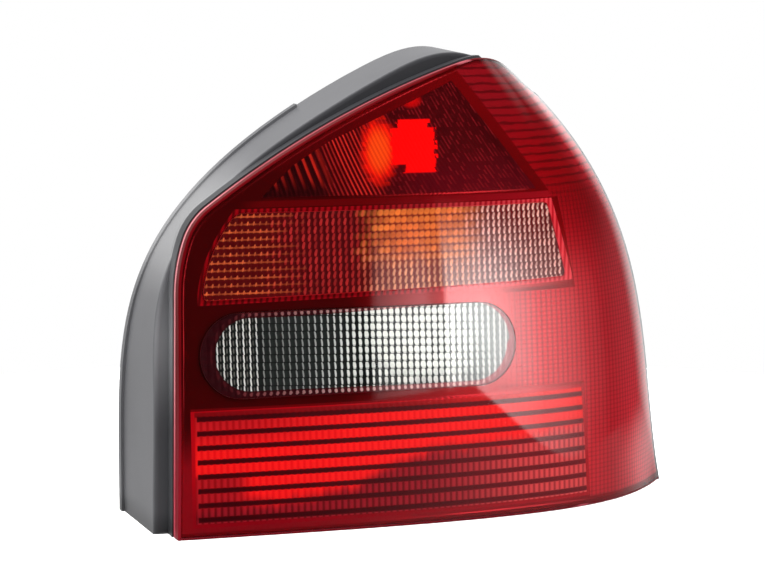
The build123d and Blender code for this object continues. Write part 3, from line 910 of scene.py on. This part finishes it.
def red_optics():
    """Inner face of the red cover: fog bands, fanned stop flutes, fluted wrap and plain margins, with the
    light and shade they show painted into its colour.
    """
    finish = finish_named("red_optics")
    run, z, edge = finish.lens_place()

    def beyond(line, soft=LINE_SOFT):
        """1 on the outboard side of a line through two points of the lens."""
        (run_low, low), (run_high, high) = chart(np.array(line))
        lean = (run_high - run_low) / (high - low)
        return ease(run - (z - low) * lean, run_low - soft, run_low + soft)

    # Share by which painted reflection makes colours paler outboard
    outboard = ease(run, 120.0, 270.0)
    cloud = noise(16.0, 3.0, finish.spread())

    # Plain margins, with painted light that brightens them at the crown, low down and out to the right, a
    # painted light line along the edge, and a sill line under the stop panel that brightens outboard with
    # painted light
    crown = ease(z, 198.0, 228.0) * ease(run, 10.0, 80.0)
    plain = mix(crown, shade(66, 1, 3), shade(86, 2, 7))
    right = mix(ease(z, 150.0, 195.0), shade(150, 11, 19), shade(108, 3, 8))
    plain = mix(ease(z, 66.0, 34.0), plain, shade(146, 17, 31))
    plain = mix(ease(run, 95.0, 185.0) * ease(z, 10.0, 30.0), plain, right)
    # Painted light line just inside the lens's edge, brighter at the crown
    rim = between(edge, 1.0, 3.4, 0.5)
    colour = mix(rim * 0.35, plain, mix(crown, shade(92, 3, 8), shade(132, 6, 12)))
    # Sill line under the stop panel, its brightening outboard painted light
    sill = between(z, 189.8, 193.6, 0.4) * ease(run, 40.0, 58.0)
    colour = mix(sill * 0.7, colour, mix(outboard, shade(112, 4, 11), shade(178, 26, 44)))

    # Fluted wrap round the corner, with painted light that darkens it towards the crown and a painted
    # pink reflection where it turns away, and painted shade in dark lines along its flutes and, towards
    # the crown, its ribs
    flute = abs(fraction(run / FLUTE_PITCH) * 2 - 1)
    wrapped = 0
    for line, soft, bottom, top in WRAP_STRETCHES:
        wrapped = wrapped + beyond(line, soft) * between(z, bottom, top, 0.3)
    wrapped = least(wrapped, 1.0)
    # Painted light: bright red low down, darker towards the crown
    wrap = mix(ease(run, 225.0, 300.0), shade(230, 42, 58), shade(200, 38, 56))
    wrap = mix(ease(z, 128.0, 202.0), wrap, shade(152, 4, 18))
    wrap = mix(ease(z, 205.0, 255.0), wrap, shade(130, 16, 28))
    # Painted reflection: pale pink where the lens turns away round the corner
    turned = ease(run + most(z - 180.0, 0.0) * 0.7, 290.0, 334.0)
    wrap = mix(turned, wrap, shade(242, 70, 90))
    stretched = finish.add("ShaderNodeCombineXYZ", None, {0: run * 0.0008, 1: z * 0.004})
    streaked = noise(120.0, 2.0, stretched)
    # Painted shade: dark lines along the ribs towards the crown and along the flutes below
    rib = abs(fraction(z / RIB_PITCH + (streaked - 0.5) * 0.5) * 2 - 1)
    ribbed = ease(rib, 0.35 + streaked * 0.3, 0.9) * ease(z, 184.0, 206.0) * 0.6
    fine = abs(fraction(z / FINE_PITCH) * 2 - 1)
    fluted = ease(flute, 0.4, 0.95) * 0.34 + ease(fine, 0.4, 0.95) * 0.22
    fluted = fluted * (1 - ease(z, 186.0, 206.0))
    colour = mix(wrapped, colour, tone(wrap, 1 - ribbed - fluted))

    # Toothed border round the indicator: teeth of painted glints on a dark ground, both paler outboard
    # with painted reflection
    tooth = between(fraction(run / INDICATOR_PITCH[0] - z * 0.04), 0.2, 0.72, 0.16)
    (left, bottom), (top_left, top) = INDICATOR_CORNERS[:2]
    climb = most((z - bottom) / (top - bottom), 0.0)
    bowed = ease(run - climb**1.86 * (top_left - left), 15.2, 15.8)
    border = bowed * (1 - beyond(((258.5, 137.0), (245.0, 190.0)))) * (1 - ease(z, 189.0, 189.4))
    border = border * ease(z - run * 0.0193, 133.9, 134.3)
    # Ground and painted glint teeth, paler outboard with painted reflection
    ground = mix(outboard, shade(96, 3, 10), shade(205, 34, 52))
    dotted = mix(outboard, shade(172, 11, 26), shade(246, 92, 104))
    colour = mix(border, colour, mix(tooth, ground, dotted))

    # Fog panel: pillowed bands between dark bars, with painted light above a line that climbs outboard,
    # painted highlights on the flute crests, painted shade in the strip above the top bar, and painted
    # reflection that pales bands and bars outboard
    fog_line = np.array(((FOG_RIGHT + 2.6, 6.0), (FOG_RIGHT - 1.0, 74.0)))
    panel = ease(run, FOG_LEFT - 0.3, FOG_LEFT + 0.3) * (1 - beyond(fog_line))
    panel = panel * between(z, FOG_BOTTOM, FOG_TOP, 0.25)
    number = floored(run / FLUTE_PITCH)
    band_number = floored((z - BAR_FIRST) / BAR_PITCH)
    spark = chance(number, band_number)
    # Painted light: bands are bright above this line and dull below it, dimmer at the lower and upper
    # left
    lit_edge = ease(run, 80.0, 170.0) * 24.0 + run * 0.03 + 16.0
    lit = ease(z - lit_edge + (cloud - 0.5) * 16 + (spark - 0.5) * 4, -5.0, 5.0)
    lit = lit * (1 - (1 - ease(run, 34.0, 48.0)) * ease(z, 38.0, 34.0) * 0.75)
    lit = lit * (1 - (1 - ease(run, 30.0, 120.0)) * ease(z, 46.0, 66.0) * 0.6)
    # Painted highlights on the flute crests, paler outboard with painted reflection
    crest = 1 - ease(flute, 0.25, 0.95)
    dull = mix(crest, shade(92, 10, 22), shade(160, 30, 46))
    dull = mix(ease(run, 150.0, 250.0), dull, mix(crest, shade(164, 58, 64), shade(228, 98, 98)))
    bright = mix(crest, shade(244, 20, 24), shade(255, 38, 34))
    band = mix(lit, dull, bright)
    wave = ease(flute, 0.0, 1.0) * 0.25 - 0.08
    # Painted shade in the strip above the top bar
    band = mix(ease(z, 70.0, 70.8) * (1 - outboard), band, shade(128, 5, 14))
    bar_phase = abs(fraction((z - BAR_FIRST) / BAR_PITCH + 0.5) - 0.5) * BAR_PITCH
    bar = (1 - ease(bar_phase + wave, BAR_HALF, BAR_HALF + 0.6)) * ease(run, 12.6, 13.4)
    # Dark bars, paler outboard with painted reflection
    band = mix(bar, band, mix(outboard, shade(50, 1, 12), shade(92, 10, 26)))
    # Frame line round the panel, with painted light that brightens it upwards and outboard and dims its
    # top edge
    framed = ease(run, 9.2, 9.8) * (1 - beyond(fog_line + (FOG_FRAME, 0.0))) * between(z, 6.3, 75.2, 0.3)
    frame_lit = mix(ease(z, 6.0, 50.0), shade(152, 8, 28), shade(196, 12, 28))
    frame_lit = mix(ease(z, 73.6, 74.0), frame_lit, shade(112, 4, 12))
    colour = mix(framed, colour, mix(outboard, frame_lit, shade(176, 26, 40)))
    colour = mix(panel, colour, band)

    # Stop panel: dark fanned flutes in painted shade, with painted glints and bright streaks along them,
    # round a patch of painted light: a glow, a hot spot and bright blocks
    fan = stop_fan(run, z) / STOP_FLUTE_PITCH
    number = floored(fan)
    streak = 1 - abs(fraction(fan) * 2 - 1)
    spark = chance(number, floored(z / 2.6))
    each = chance(number, 7.0)
    inside = ease(z, STOP_BOTTOM - 0.3, STOP_BOTTOM + 0.3) * (1 - beyond(STOP_RIGHT_EDGE))
    for line in STOP_LEFT_EDGES:
        inside = inside * beyond(line)
    # Painted glints along the flute crests
    shine = ease(streak, 0.4, 0.85)
    # Painted shade on the ground, lighter low down outboard and darker in patches
    low = ease(z, 226.0, 200.0) * ease(run, 125.0, 165.0)
    dark = mix(low, shade(46, 0, 4), shade(68, 1, 16))
    dark = mix(ease(cloud, 0.5, 0.7) * 0.7, dark, shade(26, 0, 5))
    stop = mix(shine * ease(spark, 0.3, 0.95) * 0.75, dark, shade(132, 26, 34))
    # Painted bright streaks: wide ones at the inboard end, narrow ones just outboard of them
    coarse = fan * 0.5
    wide_streak = ease(1 - abs(fraction(coarse) * 2 - 1), 0.5, 0.85)
    strength = chance(floored(coarse), 3.0) * 0.7 + 0.3
    far = ease(run + (z - STOP_BOTTOM) * 0.3, 106.0, 90.0)
    faded = ease(z, STOP_BOTTOM + 2.0, STOP_BOTTOM + 14.0)
    far_streak = mix(wide_streak * strength * faded, shade(18, 0, 3), shade(220, 50, 34))
    stop = mix(far, stop, far_streak)
    near = between(run + (z - STOP_BOTTOM) * 0.3, 100.0, 130.0, 7.0)
    stop = mix(near * shine * (each * 0.6 + 0.3), stop, shade(222, 50, 38))
    # Painted glow round the lit patch, orange at its centre and darker between the glints
    from_glow = spot(run, z, STOP_GLOW)
    glow = 1 - ease(from_glow + (spark - 0.5) * 0.4, 0.3, 1.25)
    warm = mix(ease(from_glow, 0.02, 0.6), shade(255, 104, 22), shade(255, 34, 8))
    warm = mix((1 - shine) * 0.4, warm, shade(150, 10, 4))
    stop = mix(glow, stop, warm)
    # Painted hot spot and bright blocks of light, with ragged edges
    step = (spark - 0.5) * 3
    hot = (1 - ease(spot(run, z, STOP_LIGHT_SPOT), 0.05, 1.4)) * 0.5
    for (left, right), (bottom, top) in STOP_BLOCKS:
        hot = most(hot, between(run + step, left, right, 0.6) * between(z, bottom, top, 0.5))
    stop = mix(hot, stop, shade(255, 4, 2))
    colour = mix(inside, colour, stop)

    textured = least(wrapped + panel + inside, 1.0)
    return finish.surface(
        {
            "Base Color": colour,
            "Roughness": textured * 0.36 + 0.08,
            "IOR": 1.8,
            "Specular Tint": (1.0, 0.04, 0.06, 1.0),
        }
    )


def amber_optics():
    """Inner face of the indicator window: leaning painted glints over a dark chamber in painted shade,
    with an amber core whose bright pillows are painted light.
    """
    finish = finish_named("amber_optics")
    run, z, edge = finish.lens_place()
    row = (z - INDICATOR_ROW) / INDICATOR_PITCH[1] + 0.5
    along = fraction(row) - 0.5
    column = run / INDICATOR_PITCH[0] - along * 0.22
    across = fraction(column) - 0.5
    spark = chance(floored(column), floored(row))
    paired = fraction(floored(row) * 0.5) * 2
    cloud = noise(30.0, 2.0, finish.spread())

    inboard = 1 - ease(run + (cloud - 0.5) * 30 + (spark - 0.5) * 14, 56.0, 82.0)
    outboard = ease(run, 140.0, 205.0)
    core = between(run + (spark - 0.5) * 8, 124.0, 186.0, 14.0)
    low_core = core * ease(z, 170.0, 158.0)
    core = core * ease(z + (spark - 0.5) * 4, 150.0, 168.0)

    # Shapes of the painted glints: crosses inboard, drops and beads, and the core's pillows
    tail = oval(across, along, 0.8, 0.17) * (1 - paired * 0.35)
    tick = oval(across, along - 0.1, 0.19, 0.34)
    cross = most(tail * 0.75, tick) * (spark * 0.6 + 0.4)
    drop = oval(across, along, 0.3, 0.66) * (spark * 0.5 + 0.5)
    bead = oval(across, along + 0.3, 0.2, 0.18) * outboard
    pillow = oval(across, along, 0.68, 0.53)

    # Dark ground in painted shade, paler outboard and under the core with painted reflection and light
    ground = mix(inboard, shade(78, 1, 8), shade(88, 2, 7))
    ground = mix(outboard, ground, shade(108, 30, 35))
    ground = mix(low_core, ground, shade(128, 38, 34))
    # Painted glints, paler outboard with painted reflection and pale orange under the core
    glint = mix(outboard, shade(190, 44, 46), shade(252, 208, 202))
    glint = mix(low_core, glint, shade(250, 190, 150))
    colour = mix(drop, ground, glint)
    # Painted highlight beads in the outboard cells
    colour = mix(bead * 0.8, colour, mix(outboard, shade(240, 160, 144), shade(255, 232, 228)))
    colour = mix(inboard, colour, mix(cross, ground, shade(240, 118, 66)))
    # Amber core: the amber is its own colour, its bright pillows painted light of random strength
    warmth = mix(cloud, shade(228, 104, 34), shade(255, 178, 84))
    amber = mix(pillow * (spark * 0.4 + 0.6), shade(132, 40, 14), warmth)
    colour = mix(core, colour, amber)
    # Red rim along the window's edge, paler outboard with painted reflection
    red_rim = mix(outboard, shade(170, 8, 22), shade(226, 74, 82))
    colour = mix(ease(edge, 0.6, 0.3), colour, red_rim)
    return finish.surface({"Base Color": colour, "Roughness": 0.4, "Specular IOR Level": 0.12})


def clear_optics():
    """Inner face of the reverse window: small pillows over a bright bowl, shown as painted highlight
    lines on painted shade, in a dark ring with dots of painted glints.
    """
    finish = finish_named("clear_optics")
    run, z, edge = finish.lens_place()
    row = (z + run * REVERSE_ROW_LEAN - REVERSE_ROW) / REVERSE_PITCH[1]
    along = fraction(row) - 0.5
    column = run / REVERSE_PITCH[0]
    spark = chance(floored(column), floored(row))
    across = fraction(column + along * 0.1) - 0.5
    share = (run - 20.0) / 200.0
    patchy = noise(48.0, 3.0, finish.spread())

    # Width of each pillow's painted highlight line across the window
    wide = ramp(
        share,
        (
            (0.0, 0.11), (0.15, 0.11), (0.2, 0.1), (0.38, 0.14), (0.46, 0.27), (0.54, 0.37),
            (0.76, 0.42), (0.86, 0.22), (1.0, 0.14),
        ),
    )
    # Colour of the painted highlight lines
    shine = ramp(
        share,
        (
            (0.0, shade(240, 238, 232)), (0.14, shade(250, 248, 242)), (0.17, shade(132, 134, 130)),
            (0.3, shade(160, 162, 158)), (0.42, shade(238, 240, 234)), (0.54, shade(255, 255, 248)),
            (0.8, shade(248, 248, 243)), (1.0, shade(216, 213, 209)),
        ),
    )
    # Ground between them in painted shade, paler grey outboard with painted reflection
    ground = ramp(
        share,
        (
            (0.0, shade(20, 21, 21)), (0.14, shade(24, 26, 25)), (0.19, shade(41, 43, 42)),
            (0.38, shade(37, 39, 38)), (0.46, shade(16, 18, 17)), (0.68, shade(24, 27, 26)),
            (0.8, shade(96, 102, 100)), (0.88, shade(132, 136, 134)), (1.0, shade(160, 156, 156)),
        ),
    )
    # Painted shade over the lower part of the lit middle stretch
    lit = between(run, 108.0, 190.0, 14.0)
    shaded = lit * ease(z + run * 0.12 + (patchy - 0.5) * 44, 118.0, 98.0)
    waisted = 1 - along * along * 1.7
    wide = (wide + (spark - 0.5) * 0.1 * lit - shaded * 0.12) * waisted
    line = 1 - ease(abs(across), wide - 0.05, wide + 0.06)
    # Faint painted glint lines inboard, and dark lines along the rows' seams
    second = abs(fraction(column + 0.5) - 0.5)
    beads = between(fraction(row), 0.2, 0.8, 0.12)
    faint = (1 - ease(second, 0.05, 0.14)) * beads * ease(run, 52.0, 44.0)
    seam = ease(abs(along), 0.4, 0.48) * ease(run, 44.0, 56.0) * ease(run, 206.0, 188.0)
    notch = between(along, -0.36, -0.29, 0.03) * lit * 0.6
    gap = most(seam, notch) * (1 - ease(run, 105.0, 160.0) * 0.65)
    colour = mix(faint, ground, shade(110, 106, 101))
    colour = mix(line * (1 - gap * 0.9), colour, shine)
    colour = tone(colour, 1 - gap * 0.5)
    dim = shaded * ease(spark, 0.3, 0.9) * 0.45
    colour = tone(colour, 1 - dim)

    reach = most(abs(run - REVERSE_CLEAR_CENTRE[0]) - REVERSE_CLEAR_HALF, 0.0)
    drop = z - REVERSE_CLEAR_CENTRE[1]
    away = (reach * reach + drop * drop) ** 0.5
    opened = ease(run, 60.0, 180.0) * (ease(drop, -2.0, 2.0) * 2.0 + 1.0)
    ring = ease(away - opened, REVERSE_CLEAR_RADIUS - 0.25, REVERSE_CLEAR_RADIUS + 0.25)
    outboard = ease(run, 90.0, 205.0)
    straight = 1 - ease(reach, 0.0, 14.0)
    dots = oval(across, (away - opened * 0.5 - 23.0) / 3.0, 0.3, 0.5) * (straight * 0.75 + 0.25)
    # Ring in painted shade, paler outboard with painted reflection, with dots of painted glints
    ring_ground = mix(outboard, shade(54, 1, 8), shade(172, 70, 78))
    ring_dot = mix(ease(run, 30.0, 150.0), shade(126, 40, 46), shade(236, 190, 184))
    colour = mix(ring, colour, mix(dots, ring_ground, ring_dot))
    # Rim along the window's edge, paler outboard with painted reflection
    rim = mix(outboard, shade(76, 2, 8), shade(112, 6, 20))
    colour = mix(ease(edge, 0.8, 0.5), colour, rim)
    return finish.surface({"Base Color": colour, "Roughness": 0.4, "Specular IOR Level": 0.08})


def grain(finish, scale=GRAIN_SCALE):
    """Fine grain of moulded plastic, and its faint flow marks."""
    spread = finish.spread()
    flow = noise(14.0, 4.0, spread)
    fine = noise(scale, 2.0, spread)
    return fine, ease(flow * 0.75 + fine * 0.25, 0.3, 0.7)


def grey_housing():
    """Grained housing plastic, with painted shade that darkens the narrow band beside the lens and the
    foot, and a painted light band at the shoulder.
    """
    finish = finish_named("grey_housing")
    fine, clouded = grain(finish)
    z = above_foot(finish)
    # Painted light and shade by height: a light band at the shoulder, and the narrow band lighter at
    # middle heights and darkest from the shoulder up
    middle = between(z, 88.0, 142.0, 30.0)
    shoulder_light = between(z, 150.0, 205.0, 18.0)
    narrow = 1 - ease(behind_seam(finish), BAND_SETBACK + 0.3, BAND_SETBACK + 2.2)
    wide = mix(shoulder_light, shade(75, 75, 77), shade(108, 108, 109))
    slim = mix(middle, shade(54, 54, 56), shade(92, 92, 94))
    slim = mix(ease(z, 152.0, 180.0), slim, shade(42, 42, 44))
    # Painted shade that darkens the foot
    foot = ease(z, 16.0, 2.0)
    plastic = tone(mix(narrow, wide, slim), (clouded * 0.2 + 0.9) * (1 - foot * 0.4))
    return finish.surface(
        {
            "Base Color": plastic,
            "Roughness": 0.42 + (fine - 0.5) * 0.12,
            "Specular IOR Level": 0.06,
            "Normal": bump(fine, 0.35, GRAIN_DEPTH),
        }
    )


def moulded(name, dark, light, roughness, grain_scale=GRAIN_SCALE):
    """Moulded plastic with a fine grain and faint flow marks."""
    finish = finish_named(name)
    fine, clouded = grain(finish, grain_scale)
    return finish.surface(
        {
            "Base Color": mix(clouded, dark, light),
            "Roughness": roughness + (fine - 0.5) * 0.12,
            "Normal": bump(fine, 0.35, GRAIN_DEPTH),
        }
    )


def metal(name, dark, light, roughness, scale):
    """Plated or drawn metal with fine streaks."""
    finish = finish_named(name)
    stretched = finish.add(
        "ShaderNodeVectorMath", {"operation": "MULTIPLY"}, {0: finish.spread(), 1: (1.0, 0.08, 1.0)}
    )
    streak = noise(scale, 3.0, stretched)
    return finish.surface(
        {
            "Base Color": mix(streak, dark, light),
            "Metallic": 1.0,
            "Roughness": roughness + (streak - 0.5) * 0.16,
            "Normal": bump(streak, 0.12, 0.00004),
        }
    )


def foam():
    """Closed-cell foam with open pores on its cut faces, painted darker in the pores as shade."""
    finish = finish_named("gasket_foam")
    pores = finish.add(
        "ShaderNodeTexVoronoi", None, {"Vector": finish.spread(), "Scale": 900.0}, output="Distance"
    )
    # Painted shade in the pores
    colour = mix(ease(pores, 0.1, 0.6), shade(20, 20, 21), shade(48, 48, 49))
    return finish.surface(
        {"Base Color": colour, "Roughness": 0.92, "Normal": bump(pores, 0.6, 0.0003)}
    )


def blown_glass():
    """Thin blown glass."""
    finish = finish_named("bulb_glass")
    haze = noise(60.0, 2.0, finish.spread())
    return finish.surface(
        {
            "Base Color": shade(250, 250, 248),
            "Transmission Weight": 1.0,
            "IOR": 1.5,
            "Roughness": 0.02 + haze * 0.03,
        }
    )


def metallised():
    """Plastic with a vacuum-coated mirror."""
    finish = finish_named("metallised_plastic")
    ripple = noise(55.0, 2.0, finish.spread())
    return finish.surface(
        {
            "Base Color": mix(ripple, shade(214, 215, 216), shade(240, 240, 240)),
            "Metallic": 1.0,
            "Roughness": 0.1 + ripple * 0.08,
            "Normal": bump(ripple, 0.15, 0.0006),
        }
    )


# Finishes of the nodes that keep their solid
stud_steel = metal("stud_steel", shade(150, 150, 146), shade(196, 195, 188), 0.34, 900.0)
black_plastic = moulded("black_plastic", shade(26, 26, 28), shade(40, 40, 42), 0.5)
contact_brass = metal("contact_brass", shade(176, 134, 66), shade(206, 166, 92), 0.32, 700.0)
cap_brass = metal("cap_brass", shade(172, 156, 118), shade(206, 192, 152), 0.3, 700.0)
bulb_glass = blown_glass()
node_finish = {
    "housing": grey_housing(),
    "fog_stripe_bars": black_plastic,
    "plug_socket": black_plastic,
    "bulb_carrier": moulded("pale_carrier", shade(150, 148, 140), shade(164, 162, 154), 0.45),
    "carrier_seal": moulded("seal_rubber", shade(22, 22, 22), shade(36, 36, 36), 0.75, 1200.0),
    "body_gasket": foam(),
    "mounting_studs": stud_steel,
    "reflector": metallised(),
}
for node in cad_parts:
    if node.endswith("_strip"):
        node_finish[node] = contact_brass
    elif node.endswith("_bulb_glass"):
        node_finish[node] = bulb_glass
    elif node.endswith("_bulb_cap"):
        node_finish[node] = cap_brass
for node, material in node_finish.items():
    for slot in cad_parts[node].material_slots:
        slot.material = material


def settle(piece, node):
    """Puts a piece in the place of a node."""
    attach(piece, "root")
    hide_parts(node)


settle(
    red_cover().piece(
        "red_cover", (clear_gloss("red_gloss", shade(255, 232, 232)), red_optics(), red_edge())
    ),
    "red_lens",
)
settle(
    window_cover(INDICATOR.edge, indicator_heights, INDICATOR_PITCH, INDICATOR_STEP).piece(
        "indicator_window", (clear_gloss("amber_gloss", shade(255, 244, 238)), amber_optics())
    ),
    "indicator_lens",
)
settle(
    window_cover(REVERSE.edge, heights, REVERSE_PITCH, REVERSE_STEP).piece(
        "reverse_window", (clear_gloss("clear_gloss", shade(252, 252, 252)), clear_optics())
    ),
    "reverse_lens",
)


def threaded_studs():
    """Three studs with rolled threads, their shanks and heads buried in the housing."""
    steps = 40
    rows = [(-STUD_SEAT - STUD_HEAD_DEPTH, 0.0), (-STUD_SEAT - STUD_HEAD_DEPTH, STUD_HEAD_RADIUS)]
    rows += [(-STUD_SEAT, STUD_HEAD_RADIUS), (-STUD_SEAT, STUD_SHANK_RADIUS), (0.0, STUD_SHANK_RADIUS)]
    rows += [(reach, None) for reach in np.arange(0.0, STUD_REACH + 0.01, THREAD_PITCH / 8)]
    rows.append((STUD_REACH, 0.0))
    turn = np.linspace(0, 2 * math.pi, steps + 1)[:-1]
    points = []
    for reach, radius in rows:
        if radius is None:
            phase = np.mod(reach / THREAD_PITCH - turn / (2 * math.pi), 1.0)
            depth = THREAD_DEPTH * np.clip(np.abs(2 * phase - 1) * 1.4 - 0.2, 0, 1)
            full = min(STUD_RADIUS, STUD_RADIUS - STUD_CHAMFER + (STUD_REACH - reach))
            radius = np.minimum(STUD_RADIUS - depth, full)
        ring = np.broadcast_to(radius, turn.shape)
        points += [(r * math.cos(a), reach, r * math.sin(a)) for r, a in zip(ring, turn)]
    faces = [
        (
            row * steps + step,
            row * steps + (step + 1) % steps,
            (row + 1) * steps + (step + 1) % steps,
            (row + 1) * steps + step,
        )
        for row in range(len(rows) - 1)
        for step in range(steps)
    ]
    everywhere = np.concatenate([np.array(points) + (x, 0.0, z) for x, z in STUDS])
    all_faces = [
        tuple(index + stud * len(points) for index in face)
        for stud in range(len(STUDS))
        for face in faces
    ]
    piece = mesh_piece("threaded_studs", everywhere, all_faces, (stud_steel,))
    piece.data.validate()
    piece.data.shade_smooth()
    piece.data.set_sharp_from_angle(angle=math.radians(40))
    return piece


settle(threaded_studs(), "mounting_studs")

# Floor: a white disc that the polished lens doesn't mirror
floor_ring = [
    (
        FLOOR_CENTRE[0] + FLOOR_RADIUS * math.cos(angle),
        FLOOR_CENTRE[1] + FLOOR_RADIUS * math.sin(angle),
        CORNER[2],
    )
    for angle in np.linspace(0, 2 * math.pi, 97)[:-1]
]
floor_white = finish_named("floor_white").surface({"Base Color": shade(250, 250, 250), "Roughness": 0.9})
floor = mesh_piece("floor", floor_ring, [tuple(range(len(floor_ring)))], (floor_white,))
floor.visible_glossy = False


def softbox(name, bearing, height, distance, width, tall, power):
    """Soft light at a bearing from the front and an angle of height, turned to the lamp."""
    bearing, height = math.radians(bearing), math.radians(height)
    way = Vector(
        (
            math.sin(bearing) * math.cos(height),
            -math.cos(bearing) * math.cos(height),
            math.sin(height),
        )
    )
    light = bpy.data.lights.new(name, "AREA")
    light.shape = "RECTANGLE"
    light.size = width
    light.size_y = tall
    light.energy = power
    lamp = bpy.data.objects.new(name, light)
    lamp.location = LAMP_MIDDLE + way * distance
    lamp.rotation_euler = way.to_track_quat("Z", "Y").to_euler()
    lamp.visible_camera = False
    lamp.visible_glossy = False
    bpy.context.scene.collection.objects.link(lamp)


softbox("overhead_box", 4.0, 50.0, 1.4, 1.3, 1.0, 39.0)
softbox("left_box", -95.0, 48.0, 1.4, 0.9, 0.8, 30.0)
softbox("right_box", 120.0, 12.0, 1.4, 0.9, 1.0, 24.0)

# Studio room: white behind the lamp, a tall soft panel out to the right, dim elsewhere
room = Finish(bpy.data.worlds.new("studio"))
bpy.context.scene.world = room.owner
east, north, high = parts(room.add("ShaderNodeTexCoord", output="Generated"))
bearing = room.add("ShaderNodeMath", {"operation": "ARCTAN2"}, {0: east, 1: 0 - north}) * math.degrees(1)
height = room.add("ShaderNodeMath", {"operation": "ARCSINE"}, {0: high}) * math.degrees(1)
panel = ramp(bearing / 180.0, [(degrees / 180.0, value / 10.0) for degrees, value in PANEL_LIGHT]) * 10
turned = room.add(
    "ShaderNodeMapRange", None, {"Value": bearing, "From Min": 35.0, "From Max": 68.0}
)
sill = (1 - (1 - turned) ** 2) * -5.3 - 1.2
over = ease(height - sill, -0.12, 0.12)
panel = panel * over * ease(height, 10.0, 2.5) * (ease(height - sill, 0.0, 4.0) * 0.45 + 0.55)
under = ease(bearing, 14.0, 36.0) * (1 - ease(bearing, 92.0, 112.0)) * (1 - over) * 0.3
risen = most(height - 12.0, 0.0) * 2 - ease(height, -2.0, 8.0) * 7
back = ease(abs(bearing) + risen, 122.0, 141.0) * 1.2
beyond_floor = ease(bearing, 88.0, 122.0) * (1 - ease(height, -8.0, -6.2))
ceiling = ease(height, 19.0, 27.0) * ease(bearing, 88.0, 112.0) * 1.3
light = panel + under + most(most(back, ceiling), beyond_floor) + 0.03
seen = room.add("ShaderNodeLightPath", output="Is Camera Ray")
strength = room.add("ShaderNodeMix", {"data_type": "FLOAT"}, {0: seen, 2: light, 3: 1.0})
surround = room.add("ShaderNodeBackground", None, {"Color": WHITE, "Strength": strength})
room.add("ShaderNodeOutputWorld", None, {"Surface": surround})

# Camera at the photograph's place
camera_data = bpy.data.cameras.new("camera")
camera_data.sensor_width = 36.0
camera_data.lens = FOCAL_PIXELS / FRAME_WIDTH * camera_data.sensor_width
camera = bpy.data.objects.new("camera", camera_data)
camera.location = CAMERA_PLACE
camera.rotation_euler = Vector(CAMERA_AIM).to_track_quat("-Z", "Y").to_euler()
bpy.context.scene.collection.objects.link(camera)
bpy.context.scene.camera = camera
bpy.context.scene.view_settings.view_transform = "Standard"
